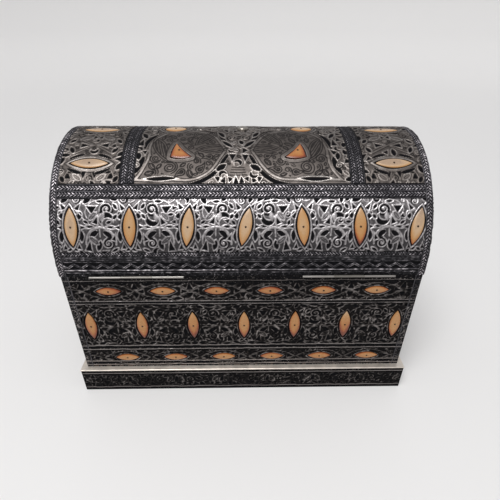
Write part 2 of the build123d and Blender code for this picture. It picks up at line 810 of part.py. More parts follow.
def build():
    """Makes every node of the chest."""
    os.makedirs("parts", exist_ok=True)

    front, back, left, right = wall_boards()
    save("front_board", front)
    save("back_board", back)
    save("left_board", left)
    save("right_board", right)
    save("bottom_board", bottom_board())

    rails, sheets, ledges = plinth()
    for side in ("front", "back", "left", "right"):
        save(f"plinth_{side}_rail", rails[side])
        save(f"{side}_sheet", wall_sheet(side))
        save(f"{side}_bones", wall_bones(side))
    save("plinth_sheets", list(sheets.values()))
    save("ledge_strips", list(ledges.values()))
    save("corner_strips", corner_strips())

    front, back, staves, ends = lid_wood()
    save("lid_front_rail", front)
    save("lid_back_rail", back)
    save("lid_staves", staves)
    save("lid_left_board", ends[0])
    save("lid_right_board", ends[1])
    for side in ("front", "back"):
        save(f"lid_{side}_rim", rim_strip(side))
        save(f"lid_{side}_band", band_sheet(side))
        save(f"lid_{side}_bones", [lid_bone(*spot) for spot in lid_band_spots(side)])
    save("lid_long_strips", long_strips())
    save("lid_cross_strips", cross_strips())
    for side, panel in top_panels().items():
        save(f"lid_{side}_panel", panel)
    save("lid_edge_bindings", edge_bindings())
    save("lid_panel_bones", [lid_bone(*spot) for spot in end_panel_spots()])
    save("lid_centre_bones", [lid_bone(*spot) for spot in centre_panel_spots()])
    end_bones = []
    for name, side in (("left", -1), ("right", 1)):
        sheet, bones = lid_end(side)
        save(f"lid_{name}_end", sheet)
        end_bones += bones
    save("lid_end_bones", end_bones)
    save("crown_boss", crown_boss())

    for name, side in (("left", -1), ("right", 1)):
        save(f"{name}_hinge_body_leaf", hinge_leaf(side * hinge_centre, in_lid=False))
        save(f"{name}_hinge_lid_leaf", hinge_leaf(side * hinge_centre, in_lid=True))
    save("hinge_pins", [hinge_pin(-hinge_centre), hinge_pin(hinge_centre)])
    save("body_hinge_screws", hinge_screws(in_lid=False))
    save("lid_hinge_screws", hinge_screws(in_lid=True))

    save("hasp_plate", hasp_plate())
    save("hasp_pin", hasp_pin())
    save("hasp_strap", hasp_strap())
    save("staple_plate", staple_plate())
    save("staple", staple())

    eyes = handle_eyes()
    save("right_handle_eyes", eyes)
    save("left_handle_eyes", [mirror(eye, Plane.YZ) for eye in eyes])
    save("right_bail", bail())
    save("left_bail", mirror(bail(), Plane.YZ))


build()
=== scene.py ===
# %% [markdown]
# # A domed dowry chest
# The real chest is a cedar box under a barrel lid. Both are clad in thin nickel sheet that was
# hammered and pierced over a blackened ground, and almonds of dyed bone are nailed into windows in
# the sheet. The wood, hinges, handles and hasp come ready as a fixed frame. This lesson makes the
# ornament: the sheets as real relief, the bones, the nails, and the finish of every piece. Lengths
# are in millimetres until a mesh is written, because a jeweller's relief is a matter of tenths of
# a millimetre.

import math

import bpy
import numpy as np
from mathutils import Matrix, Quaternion, Vector


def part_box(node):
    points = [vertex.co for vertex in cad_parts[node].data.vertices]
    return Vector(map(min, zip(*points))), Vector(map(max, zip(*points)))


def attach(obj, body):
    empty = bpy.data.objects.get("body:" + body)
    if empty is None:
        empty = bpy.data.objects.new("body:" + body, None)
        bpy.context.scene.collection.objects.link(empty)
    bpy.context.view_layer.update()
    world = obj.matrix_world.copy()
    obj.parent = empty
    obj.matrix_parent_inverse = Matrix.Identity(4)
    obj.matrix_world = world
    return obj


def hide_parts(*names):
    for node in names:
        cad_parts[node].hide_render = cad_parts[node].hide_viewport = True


MM = 0.001
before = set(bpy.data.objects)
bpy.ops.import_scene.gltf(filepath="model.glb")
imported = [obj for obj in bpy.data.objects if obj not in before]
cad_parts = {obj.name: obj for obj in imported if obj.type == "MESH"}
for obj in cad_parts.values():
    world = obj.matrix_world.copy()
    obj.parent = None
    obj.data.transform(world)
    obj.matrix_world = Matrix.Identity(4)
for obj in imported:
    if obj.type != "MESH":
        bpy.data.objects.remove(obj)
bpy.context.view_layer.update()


# %% [markdown]
# The ornament has to lie on the wood exactly, so its sizes are read off the frame's own pieces
# instead of being typed in again. Only what can't be read there, such as how wide a strip is, is a
# named value.

# %% Sizes read from the frame
def low_corner(node):
    """The lowest corner of a frame piece, in millimetres."""
    return [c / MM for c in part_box(node)[0]]


def high_corner(node):
    """The highest corner of a frame piece, in millimetres."""
    return [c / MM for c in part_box(node)[1]]


sheet_thickness = 1.0
lid_half = high_corner("lid_edge_bindings")[0]
lid_half_depth = high_corner("lid_back_rail")[1] + sheet_thickness
lid_foot = low_corner("lid_back_rim")[2]
rim_height = 6.0
dome_rise = high_corner("lid_centre_panel")[2] - lid_foot - rim_height
box_half = high_corner("back_board")[0] + sheet_thickness
box_half_depth = high_corner("back_board")[1] + sheet_thickness
box_top = high_corner("back_board")[2]
ledge_top = high_corner("ledge_strips")[2]
plinth_half = high_corner("plinth_right_rail")[0] + sheet_thickness
plinth_half_depth = high_corner("plinth_back_rail")[1] + sheet_thickness
print(f"lid {2 * lid_half:.0f} wide, {2 * lid_half_depth:.0f} deep, dome rises {dome_rise:.0f}")


# %% [markdown]
# The lid is half an ellipse on a short upright rim. A sheet is cut flat and then bent over it, so
# the ornament is drawn flat as well: one coordinate runs along the lid, the other, the run, goes
# up the back, over the crown and down the front. A table of the ellipse turns a run into a place
# and an outward direction.

# %% The lid's profile as a run
profile_steps = 2000
profile_turn = np.linspace(0.0, math.pi, profile_steps + 1)
half_turns = (profile_turn[1:] + profile_turn[:-1]) / 2
pace = np.hypot(lid_half_depth * np.sin(half_turns), dome_rise * np.cos(half_turns))
dome_runs = rim_height + np.concatenate([[0.0], np.cumsum(pace) * math.pi / profile_steps])
full_run = dome_runs[-1] + rim_height


def lid_skin(along, run, height):
    """Points of the lid: along is to the right as seen from behind, height is off the sheet."""
    turn = np.interp(run, dome_runs, profile_turn)
    y = lid_half_depth * np.cos(turn)
    z = lid_foot + rim_height + dome_rise * np.sin(turn)
    z = z - np.maximum(rim_height - run, 0.0) - np.maximum(run - full_run + rim_height, 0.0)
    ny, nz = dome_rise * np.cos(turn), lid_half_depth * np.sin(turn)
    size = np.hypot(ny, nz)
    return np.stack([-along, y + height * ny / size, z + height * nz / size], axis=-1)


print(f"the skin runs {full_run:.1f} mm from seam to seam")


# %% [markdown]
# The flat sides are simpler. Each has its own rule from drawing to place, with the drawing's right
# hand at the onlooker's right, so that every pattern reads the right way round.

# %% The flat sides
def back_side(along, up, height):
    """Points of the back wall."""
    return np.stack([-along, box_half_depth + height, up], axis=-1)


def front_side(along, up, height):
    """Points of the front wall."""
    return np.stack([along, -box_half_depth - height, up], axis=-1)


def left_side(along, up, height):
    """Points of the left end wall."""
    return np.stack([-box_half - height, -along, up], axis=-1)


def right_side(along, up, height):
    """Points of the right end wall."""
    return np.stack([box_half + height, along, up], axis=-1)


print(f"walls {2 * box_half:.0f} wide, {2 * box_half_depth:.0f} deep, top edge at {box_top:.0f}")


# %% [markdown]
# Hammered ornament is a surface that rises and falls, so each sheet is a fine grid whose points
# are lifted. A Displace modifier could do that from a picture, but here the heights are computed,
# which keeps the edges of the pierced work crisp and lets the same numbers blacken the ground. A
# bare grid would be a surface without thickness. So the grid's left edge is extruded down, along
# the back and up again, which closes it with a single column of long faces, and the ends are
# filled.

# %% A closed slab with a fine front
def slab(name, along_cells, up_cells):
    """A unit slab: the fine grid is at height 0, and its back at -1."""
    bpy.ops.object.select_all(action="DESELECT")
    bpy.ops.mesh.primitive_grid_add(x_subdivisions=along_cells, y_subdivisions=up_cells, size=1.0)
    piece = bpy.context.object
    piece.name = name
    edges = np.zeros(2 * len(piece.data.edges), int)
    piece.data.edges.foreach_get("vertices", edges)
    at_left = points_of(piece)[edges.reshape(-1, 2), 0].max(axis=1) < -0.4999
    bpy.ops.object.mode_set(mode="EDIT")
    bpy.ops.mesh.select_mode(type="EDGE")
    bpy.ops.mesh.select_all(action="DESELECT")
    bpy.ops.object.mode_set(mode="OBJECT")
    piece.data.edges.foreach_set("select", at_left)
    bpy.ops.object.mode_set(mode="EDIT")
    for way in ((0, 0, -1), (1, 0, 0), (0, 0, 1)):
        bpy.ops.mesh.extrude_edges_move(TRANSFORM_OT_translate={"value": way})
    bpy.ops.mesh.select_all(action="SELECT")
    bpy.ops.mesh.remove_doubles(threshold=0.0001)
    bpy.ops.mesh.select_all(action="DESELECT")
    bpy.ops.mesh.select_non_manifold()
    bpy.ops.mesh.fill_holes(sides=0)
    bpy.ops.mesh.select_all(action="SELECT")
    bpy.ops.mesh.normals_make_consistent(inside=False)
    bpy.ops.object.mode_set(mode="OBJECT")
    return piece


def points_of(piece):
    """A mesh's points as an array."""
    points = np.zeros(3 * len(piece.data.vertices))
    piece.data.vertices.foreach_get("co", points)
    return points.reshape(-1, 3)


def store(piece, name, values):
    """Keeps one number at each point of a mesh, for its material."""
    layer = piece.data.attributes.new(name, "FLOAT", "POINT")
    layer.data.foreach_set("value", np.asarray(values, np.float32))


def settle(piece, points):
    """Moves a mesh's points to places in millimetres."""
    piece.data.vertices.foreach_set("co", (points * MM).astype(np.float32).ravel())
    piece.data.update()


# %% [markdown]
# The drawing itself is done on a canvas: a rectangle of sheet that keeps a height and a brightness
# at points half a millimetre apart. A maker works with a few punches, and so does this script: a
# shape is the distance to its edge, and a tool turns that distance into a pierced hole with a
# bright lip, a ridge, a groove or a leaf's rounded pad. A slight wobble of the coordinates keeps
# the lines from looking machined.

# %% The canvas and its tools
GROUND = -0.9  # height of the blackened ground
RIDGE = 0.75  # height of a raised line
RAW = 0.5  # distance between the canvas's points
FAR = 9.0  # a distance that no tool reaches


class Canvas:
    """A stretch of sheet with its height and its brightness at points half a millimetre apart."""

    def __init__(self, a0, a1, b0, b1, height=0.0, shine=0.5, wobble=0.5, phase=0.0):
        self.low = (a0, b0)
        self.count = (round((a1 - a0) / RAW) + 1, round((b1 - b0) / RAW) + 1)
        self.height = np.full(self.count[::-1], float(height))
        self.shine = np.full(self.count[::-1], float(shine))
        self.worked = np.zeros(self.count[::-1], bool)
        self.wobble, self.phase = wobble, phase

    def near(self, a, b, reach, angle=0.0):
        """The points within reach of a place, with their coordinates in a turned direction."""
        ranges = []
        for middle, low, count in zip((a, b), self.low, self.count):
            first = max(0, int((middle - reach - low) / RAW))
            last = min(count, int((middle + reach - low) / RAW) + 2)
            ranges.append((first, max(first, last)))
        (i0, i1), (j0, j1) = ranges
        along, up = np.meshgrid(self.low[0] + RAW * np.arange(i0, i1),
                                self.low[1] + RAW * np.arange(j0, j1))
        along = along + self.wobble * np.sin(0.13 * up + 0.05 * along + self.phase)
        up = up + self.wobble * np.sin(0.11 * along - 0.07 * up + 2 * self.phase)
        c, s = math.cos(math.radians(angle)), math.sin(math.radians(angle))
        u = (along - a) * c + (up - b) * s
        v = (up - b) * c - (along - a) * s
        return (slice(j0, j1), slice(i0, i1)), u, v

    def raised(self, place, distance, half_width=0.9, rise=RIDGE, shine=1.0):
        """A rounded ridge along a line."""
        ridge = np.sqrt(np.clip(1.0 - (distance / half_width) ** 2, 0.0, 1.0))
        on = ridge > 0
        h, s = self.height[place], self.shine[place]
        h[on] = np.maximum(h, rise * ridge)[on]
        s[on] = np.maximum(s, shine * (0.45 + 0.55 * ridge))[on]
        self.worked[place] |= on

    def pierced(self, place, distance, lip=0.8, shine=1.0):
        """A hole down to the dark ground, with a bright lip round it."""
        inside = np.clip(0.5 - distance / 0.8, 0.0, 1.0)
        h, s = self.height[place], self.shine[place]
        h += (GROUND - h) * inside
        s *= 1.0 - inside
        self.worked[place] |= distance < 0.5
        if lip:
            self.raised(place, distance - lip, lip, shine=shine)

    def engraved(self, place, distance, half_width=0.5, depth=0.45):
        """A thin dark groove."""
        groove = np.clip(1.0 - np.abs(distance) / half_width, 0.0, 1.0)
        self.height[place] -= depth * groove
        self.shine[place] *= 1.0 - 0.92 * groove
        self.worked[place] |= groove > 0

    def domed(self, place, distance, rise=0.5, slope=2.5, shine=0.72):
        """A rounded pad: a leaf or a petal."""
        pad = np.sqrt(np.clip(-distance / slope, 0.0, 1.0))
        on = distance < 0
        h, s = self.height[place], self.shine[place]
        h[on] = (rise * pad)[on]
        s[on] = shine
        self.worked[place] |= on


# %% [markdown]
# Each shape is a small sum that gives the distance of a point from its edge, negative inside. The
# coordinates come turned, so that u runs along the shape and v across it.

# %% Shapes as distances
def lens(u, v, length, width):
    """An almond: two equal arcs that meet in points along u."""
    half, belly = length / 2, width / 2
    radius = (half ** 2 + belly ** 2) / (2 * belly)
    return np.hypot(u, np.abs(v) + radius - belly) - radius


def wedge(u, v, length, width):
    """A triangle with its point towards +u."""
    t = (u + length / 2) / length
    side = np.abs(v) - width / 2 * (1.0 - t)
    return np.maximum(-(u + length / 2), side * math.cos(math.atan2(width / 2, length)))


def teardrop(u, v, radius, reach):
    """A round end about the middle and a point at +u."""
    lean = math.asin(radius / reach)
    side = u * math.sin(lean) + np.abs(v) * math.cos(lean) - radius
    before_tip = np.arctan2(np.abs(v), u) < math.pi / 2 - lean
    return np.where(before_tip, side, np.hypot(u, v) - radius)


def crescent(u, v, radius, thickness):
    """A moon: a disc less the same disc set aside by its thickness."""
    outer = np.hypot(u, v) - radius
    inner = radius - np.hypot(u, v + thickness)
    return np.maximum(outer, inner)


def arc(u, v, radius, start, sweep):
    """Part of a circle's line, from a start through a sweep, in degrees."""
    middle = math.radians(start + sweep / 2)
    half = math.radians(abs(sweep) / 2)
    turn = np.arctan2(v, u) - middle
    turn = np.abs((turn + math.pi) % (2 * math.pi) - math.pi)
    on = np.abs(np.hypot(u, v) - radius)
    ends = []
    for end in (start, start + sweep):
        a = math.radians(end)
        ends.append(np.hypot(u - radius * math.cos(a), v - radius * math.sin(a)))
    return np.where(turn <= half, on, np.minimum(*ends))


def spiral(u, v, radius, turns, hand=1):
    """A scroll that starts on the outside at +u and winds in."""
    angle = np.mod(hand * np.arctan2(v, u), 2 * math.pi)
    distance = np.full(u.shape, 1e3)
    reach = np.hypot(u, v)
    for k in range(int(turns) + 1):
        passed = (angle / (2 * math.pi) + k) / turns
        line = radius * (1.0 - 0.82 * passed)
        distance = np.where(passed <= 1.0, np.minimum(distance, np.abs(reach - line)), distance)
    return distance


def segment(u, v, length):
    """A straight stroke along u."""
    return np.hypot(np.maximum(np.abs(u) - length / 2, 0.0), v)


# %% [markdown]
# From these tools come the punches that the chest's pattern is made of: holes, bars and bows,
# scrolls, leaves, and the lips round each bone. Each is given its place, its sizes and its angle.

# %% The punches
leaf_shine = 0.72


def hole_lens(c, a, b, length, width, angle, lip=1.1, shine=1.0):
    """An almond-shaped hole."""
    place, u, v = c.near(a, b, length, angle)
    c.pierced(place, lens(u, v, length, width), lip, shine=shine)


def hole_wedge(c, a, b, length, width, angle, lip=1.1, shine=1.0):
    """A three-cornered hole."""
    place, u, v = c.near(a, b, length + 3, angle)
    c.pierced(place, wedge(u, v, length, width), lip, shine=shine)


def hole_crescent(c, a, b, radius, thickness, angle, lip=1.0, shine=1.0):
    """A moon-shaped hole."""
    place, u, v = c.near(a, b, radius + 4, angle)
    c.pierced(place, crescent(u, v, radius, thickness), lip, shine=shine)


def bar(c, a, b, length, angle, half_width=1.2, shine=1.0):
    """A straight ridge."""
    place, u, v = c.near(a, b, length / 2 + 3, angle)
    c.raised(place, segment(u, v, length), half_width, shine=shine)


def bow(c, a, b, radius, start, sweep, half_width=0.9, shine=1.0):
    """A ridge along part of a circle."""
    place, u, v = c.near(a, b, radius + 3)
    c.raised(place, arc(u, v, radius, start, sweep), half_width, shine=shine)


def scroll(c, a, b, radius, angle, hand=1, turns=1.6, shine=1.0, half_width=1.15):
    """A comma scroll: a raised spiral over dark crescents, with a knob in the eye."""
    place, u, v = c.near(a, b, radius + 3, angle)
    r = np.hypot(u, v)
    c.pierced(place, r - radius, 0.0)
    c.raised(place, spiral(u, v, radius, turns, hand), half_width, shine=shine)
    c.domed(place, r - 0.24 * radius, rise=0.7, shine=0.9 * shine)


def leaf(c, a, b, length, width, angle, veins=2, shine=leaf_shine):
    """A pointed leaf with a raised edge and engraved veins."""
    place, u, v = c.near(a, b, length / 2 + 4, angle)
    d = lens(u, v, length, width)
    c.domed(place, d, rise=0.45, slope=width / 3, shine=shine)
    for k in range(veins):
        off = (k - (veins - 1) / 2) * width / (veins + 1)
        vein = v - off * (1 - (2 * u / length) ** 2)
        c.engraved(place, np.where(np.abs(u) < 0.36 * length, vein, FAR))
    c.raised(place, d, 0.8, rise=0.7, shine=min(1.0, 1.3 * shine))


def rim(c, a, b, length, width, angle, shine=1.0, gap=1.6, outer=True):
    """The double raised lips round one inlay, with dark ground between bone and lip."""
    place, u, v = c.near(a, b, length / 2 + 12, angle)
    d = lens(u, v, length, width)
    c.pierced(place, d - 2.4 * gap / 2, 0.0)
    c.raised(place, d - gap - 1.6, 1.1, rise=0.85, shine=shine)
    if outer:
        c.engraved(place, d - gap - 3.1, 0.6)


def hoop(c, place, d, width=4.2, shine=0.62):
    """A broad flat band along an outline, with a groove at each of its edges."""
    on = np.abs(d) < width / 2
    c.height[place][on] = 0.35
    c.shine[place][on] = shine
    c.worked[place] |= on
    c.engraved(place, np.abs(d) - width / 2, 0.8)


def moon(c, place, u, v, d, turn, sweep, off, width, shine=1.0):
    """A dark crescent beside an outline, thickest in the middle of its sweep."""
    past = (np.degrees(np.arctan2(v, u)) - turn + 180.0) % 360.0 - 180.0
    swell = width / 2 * np.sqrt(np.clip(1.0 - (2 * past / sweep) ** 2, 0.0, 1.0))
    c.pierced(place, np.where(swell > 0, np.abs(d - off) - swell, FAR), 0.6, shine=shine)


# %% [markdown]
# Bending a drawn sheet over the chest is one step for every piece: the slab's unit square becomes
# the sheet's rectangle, its front takes the canvas's height, and the side's own rule gives the
# place in space. The brightness goes along as a stored number, and a flat UV map keeps the
# drawing's own coordinates.

# %% Embossing one sheet
fine_pitch = 1.0
strip_pitch = 0.75 * fine_pitch


def sampled(values, canvas, along, up):
    """A canvas's values between its points."""
    i = np.clip((along - canvas.low[0]) / RAW, 0, canvas.count[0] - 1.001)
    j = np.clip((up - canvas.low[1]) / RAW, 0, canvas.count[1] - 1.001)
    i0, j0 = i.astype(int), j.astype(int)
    fi, fj = i - i0, j - j0
    lower = values[j0, i0] * (1 - fi) + values[j0, i0 + 1] * fi
    upper = values[j0 + 1, i0] * (1 - fi) + values[j0 + 1, i0 + 1] * fi
    return lower * (1 - fj) + upper * fj


def emboss(name, canvas, surface, pitch=fine_pitch, outline=None):
    """A sheet with the canvas's relief, bent onto a surface."""
    width = (canvas.count[0] - 1) * RAW
    length = (canvas.count[1] - 1) * RAW
    piece = slab(name, max(3, round(width / pitch)), max(3, round(length / pitch)))
    unit = points_of(piece)
    front = unit[:, 2] > -0.5
    along = canvas.low[0] + (unit[:, 0] + 0.5) * width
    up = canvas.low[1] + (unit[:, 1] + 0.5) * length
    if outline is not None:
        # the long face that closes the slab lies flat behind it, so the last row goes there too
        up = outline(along, unit[:, 1] + 0.5)
        front &= unit[:, 1] < 0.4999
    height = np.where(front, sampled(canvas.height, canvas, along, up), -sheet_thickness)
    height = np.where(front & (height < -0.9 * sheet_thickness), -0.9 * sheet_thickness, height)
    settle(piece, surface(along, up, height))
    store(piece, "shine", np.where(front, sampled(canvas.shine, canvas, along, up), 0.0))
    flat_map(piece, unit)
    bpy.ops.object.shade_smooth_by_angle(angle=math.radians(70))
    return piece


def flat_map(piece, unit):
    """The drawing's own coordinates as a UV map: the front fills it, the rest gets a margin."""
    loops = np.zeros(len(piece.data.loops), int)
    piece.data.loops.foreach_get("vertex_index", loops)
    totals = np.zeros(len(piece.data.polygons), int)
    piece.data.polygons.foreach_get("loop_total", totals)
    hidden = unit[loops, 2] < -0.5
    starts = np.concatenate([[0], np.cumsum(totals)[:-1]])
    behind = np.repeat(np.add.reduceat(hidden, starts) > 0, totals)
    u = 0.01 + 0.96 * (unit[loops, 0] + 0.5)
    v = 0.01 + 0.98 * (unit[loops, 1] + 0.5)
    u = np.where(behind, 0.98 + 0.01 * (unit[loops, 0] + 0.5), u)
    layer = piece.data.uv_layers.active or piece.data.uv_layers.new(name="OFBake")
    layer.name = "OFBake"
    layer.data.foreach_set("uv", np.stack([u, v], axis=-1).astype(np.float32).ravel())


# %% [markdown]
# Some sheets are the same strip several times, so their meshes are joined into one piece. A
# finished piece rides on its body and stands in for the frame's plain pieces.

# %% Joining and hanging pieces
def joined(name, pieces):
    """Several meshes as one piece."""
    bpy.ops.object.select_all(action="DESELECT")
    for piece in pieces:
        piece.select_set(True)
    bpy.context.view_layer.objects.active = pieces[0]
    bpy.ops.object.join()
    pieces[0].name = name
    return pieces[0]


def fitted(piece, body, nodes, finish):
    """Hangs a finished piece on its body, in place of the frame's plain pieces."""
    piece.data.materials.clear()
    piece.data.materials.append(finish)
    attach(piece, body)
    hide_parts(*nodes)
    print(f"{piece.name}: {len(piece.data.vertices)} points, instead of {', '.join(nodes)}")


# %% [markdown]
# Metal and bone get their look from a few numbers, and most of what a shader does with them is
# arithmetic. A small class lets that be written as sums, and one method adds any other node.

# %% A way to write materials
class Wire:
    """A number on its way through a material's nodes."""

    def __init__(self, finish, socket):
        self.finish, self.socket = finish, socket

    def sum(self, operation, first, second):
        return self.finish.node("ShaderNodeMath", {"operation": operation}, {0: first, 1: second})

    def __add__(self, other):
        return self.sum("ADD", self, other)

    def __radd__(self, other):
        return self.sum("ADD", other, self)

    def __sub__(self, other):
        return self.sum("SUBTRACT", self, other)

    def __rsub__(self, other):
        return self.sum("SUBTRACT", other, self)

    def __mul__(self, other):
        return self.sum("MULTIPLY", self, other)

    def __rmul__(self, other):
        return self.sum("MULTIPLY", other, self)

    def __pow__(self, other):
        return self.sum("POWER", self, other)


class Finish:
    """One material with a Principled shader."""

    def __init__(self, name, **constants):
        self.material = bpy.data.materials.new(name)
        self.material.use_nodes = True
        self.tree = self.material.node_tree
        self.shader = self.tree.nodes["Principled BSDF"]
        for label, value in constants.items():
            self.shader.inputs[label.replace("_", " ")].default_value = value

    def node(self, kind, settings=None, inputs=None, output=0):
        """Adds a node: its settings first, then the values or links of its sockets."""
        made = self.tree.nodes.new(kind)
        for label, value in (settings or {}).items():
            if label == "stops":
                self.set_stops(made.color_ramp, value)
            else:
                setattr(made, label, value)
        for label, value in (inputs or {}).items():
            self.connect(made.inputs[label], value)
        return Wire(self, made.outputs[output])

    def connect(self, socket, value):
        if isinstance(value, Wire):
            self.tree.links.new(value.socket, socket)
        else:
            socket.default_value = value

    def set_stops(self, ramp, stops):
        while len(ramp.elements) < len(stops):
            ramp.elements.new(0.5)
        for element, (place, colour) in zip(ramp.elements, stops):
            element.position = place
            element.color = (*colour, 1.0)

    def feed(self, label, value):
        self.connect(self.shader.inputs[label], value)

    def stored(self, name):
        """A number that was stored at the mesh's points."""
        return self.node("ShaderNodeAttribute", {"attribute_name": name}, output="Fac")

    def place(self):
        return self.node("ShaderNodeTexCoord", output="Object")

    def speckle(self, per_metre, detail=3.0, roughness=0.6):
        """Soft noise from 0 to 1, in the piece's own space."""
        return self.node("ShaderNodeTexNoise", {}, {"Vector": self.place(), "Scale": per_metre,
                                                    "Detail": detail, "Roughness": roughness})

    def ramp(self, level, stops):
        return self.node("ShaderNodeValToRGB", {"stops": stops}, {"Fac": level})

    def clamped(self, level):
        return self.node("ShaderNodeClamp", {}, {"Value": level})

    def bump(self, level, distance, strength=1.0):
        return self.node("ShaderNodeBump", {}, {"Height": level, "Distance": distance,
                                                "Strength": strength})


# %% [markdown]
# The sheet is nickel silver over a blackened ground. Where the punches drove it down it stays
# black, the flats are dulled by years of soot and polish, and the crests are rubbed bright. So the
# stored brightness picks the colour and how metallic and rough the spot is, and two scales of
# noise break it up into patina. The lid's band, its top and the walls are copies of one metal that
# differ only in their colours, and the difference is painted light. The band's colours are painted
# bright as under a highlight. The top's are darker, partly patina and partly painted shade. The
# walls' are nearly black, partly tarnish and partly a painted shade and dark reflection.

# %% Nickel finishes
ground_black = (0.003, 0.003, 0.004)
tarnish = 0.35


def nickel(name, dull, bright, gloss=0.32):
    """Embossed nickel: black ground, dulled flats and bright crests."""
    finish = Finish(name, Specular_IOR_Level=0.08)
    shine = finish.stored("shine")
    clouds = finish.speckle(14.0, detail=4.0)
    grains = finish.speckle(900.0, detail=2.0)
    level = finish.clamped(shine * (1.0 + tarnish * (clouds - 0.5) * 2.0) + 0.16 * (grains - 0.5))
    nearly_black = [0.78 * b + 0.22 * d for b, d in zip(ground_black, dull)]
    half_bright = [0.5 * (d + b) for d, b in zip(dull, bright)]
    stops = ((0.0, ground_black), (0.28, nearly_black), (0.55, dull), (0.85, half_bright),
             (1.0, bright))
    finish.feed("Base Color", finish.ramp(level, stops))
    finish.feed("Metallic", finish.clamped(3.2 * level - 0.3))
    finish.feed("Roughness", finish.clamped(0.74 - (0.74 - gloss) * level + 0.15 * (grains - 0.5)))
    finish.feed("Normal", finish.bump(grains, 0.0004, 0.5))
    return finish.material


# painted light: the band's copy is painted bright as under a highlight, the top's is partly patina
# and partly painted shade, and the walls' copy, also used on the plinth and the lid's ends, is
# partly tarnish and partly painted shade and dark reflection
lid_band_nickel_painted_highlight = nickel("lid_band_nickel_painted_highlight", (0.30, 0.28, 0.285), (0.98, 0.94, 0.94))
lid_top_nickel_patina_and_shade = nickel("lid_top_nickel_patina_and_shade", (0.160, 0.139, 0.127), (0.56, 0.52, 0.49))
wall_nickel_tarnish_and_shade = nickel("wall_nickel_tarnish_and_shade", (0.020, 0.0175, 0.017), (0.29, 0.265, 0.255), gloss=0.4)
strip_nickel = nickel("strip_nickel", (0.105, 0.100, 0.108), (0.80, 0.74, 0.77), gloss=0.42)


def plain_metal(name, colour, roughness, wear=0.12, metal=1.0):
    """A frame piece's metal with a little uneven wear."""
    finish = Finish(name, Metallic=metal)
    clouds = finish.speckle(60.0, detail=4.0)
    dark = [c * (1 - wear) for c in colour]
    finish.feed("Base Color", finish.ramp(clouds, ((0.3, dark), (0.7, colour))))
    finish.feed("Roughness", finish.clamped(roughness + 0.25 * (clouds - 0.5)))
    finish.feed("Normal", finish.bump(clouds, 0.0003, 0.2))
    return finish.material


ledge_metal = plain_metal("ledge_metal", (0.88, 0.80, 0.71), 0.36, wear=0.3, metal=0.7)
hinge_metal = plain_metal("hinge_metal", (0.36, 0.34, 0.32), 0.38)
# painted shade: the knuckle metal is a darker copy of the hinge metal, a painted shade and dark
# reflection on the lid leaves' barrels
knuckle_metal_painted_shade = plain_metal("knuckle_metal_painted_shade", (0.24, 0.225, 0.205), 0.36)
handle_metal = plain_metal("handle_metal", (0.40, 0.37, 0.33), 0.36)
screw_metal = plain_metal("screw_metal", (0.35, 0.33, 0.31), 0.38)


# %% [markdown]
# The bones are nailed on in rows, and every pattern is built round them, so their places come
# first. Each is a place on its side, a kind and the angle of its long axis. A kind is a length and
# a width, and a petal has a third number: how far its tip leans. The lid's upright bones were set
# one by one and lean this way and that.

# %% Where the bones sit
bone_pitch = 80.0
bone_stand = 1.6
upright_bone = (53.0, 16.2)
level_bone = (36.0, 12.8)
low_bone = (37.0, 13.2)
panel_bone = (52.0, 15.0)
crown_bone = (32.0, 21.5)
petal_bone = (29.0, 30.0, 8.0)
crown_run = full_run / 2
band_bone_run = 75.0
band_bone_shift = 3.5
back_leans = (2, -1, -6, -12, 5, 1, -12)
front_leans = (-2, 4, -3, 0, 2, -4, 3)
panel_bone_centre = 214.9
panel_bone_run = 167.5
panel_crown_step = 5.0
petal_centre = 82.0
petal_run = 191.0
crown_bone_centre = 97.0
centre_shift = -6.0
top_row_drop = 27.0
mid_row_drop = 95.5
low_row_drop = 165.0
mid_row_shift = 1.0
low_row_shift = 7.0
end_bone_spread = 74.0
end_bone_rise = 62.0
end_bone_lean = 24.0

back_band_bones = [(band_bone_shift + bone_pitch * (i - 3), band_bone_run, upright_bone, 90 + lean)
                   for i, lean in enumerate(back_leans)]
front_band_bones = [(bone_pitch * (i - 3), full_run - band_bone_run, upright_bone, 90 + lean)
                    for i, lean in enumerate(front_leans) if i != 3]
panel_bones = [(side * panel_bone_centre, run, panel_bone, 0) for side in (-1, 1)
               for run in (panel_bone_run, crown_run - panel_crown_step, full_run - panel_bone_run)]
centre_bones = []
for side in (-1, 1):
    wide, tall, lean = petal_bone
    petal_place = centre_shift + side * petal_centre
    centre_bones.append((petal_place, petal_run, (wide, tall, side * lean), 0))
    centre_bones.append((petal_place, full_run - petal_run, (wide, tall, -side * lean), 180))
    centre_bones.append((centre_shift + side * crown_bone_centre, crown_run, crown_bone, 0))


def row(half_length, width, shift, odd):
    """Places of a row of bones that fits between two ends."""
    steps = [k - 6 + (0.0 if odd else 0.5) for k in range(13)]
    places = [shift + bone_pitch * k for k in steps]
    return [a for a, k in zip(places, steps)
            if abs(bone_pitch * k) + abs(shift) + width / 2 < half_length]


corner_width = 11.0


def wall_bones(half_length, mid_shift, low_shift):
    """The three rows of bones of one wall."""
    free = half_length - corner_width
    top = [(a, box_top - top_row_drop, level_bone, 0) for a in row(free, level_bone[0], 0.0, False)]
    mid = [(a, box_top - mid_row_drop, upright_bone, 90)
           for a in row(free, upright_bone[1], mid_shift, True)]
    low = [(a, box_top - low_row_drop, low_bone, 0)
           for a in row(free, low_bone[0], low_shift, False)]
    return top, mid, low


long_wall_bones = wall_bones(box_half, mid_row_shift, low_row_shift)
end_wall_bones = wall_bones(box_half_depth, 0.0, 0.0)
lid_end_bones = [(side * end_bone_spread, lid_foot + end_bone_rise, upright_bone,
                  90 + side * end_bone_lean) for side in (-1, 0, 1)]
print("bones:", len(back_band_bones) + len(front_band_bones) + len(panel_bones) + len(centre_bones)
      + 2 * sum(map(len, long_wall_bones)) + 2 * sum(map(len, end_wall_bones)) + 2 * 3)


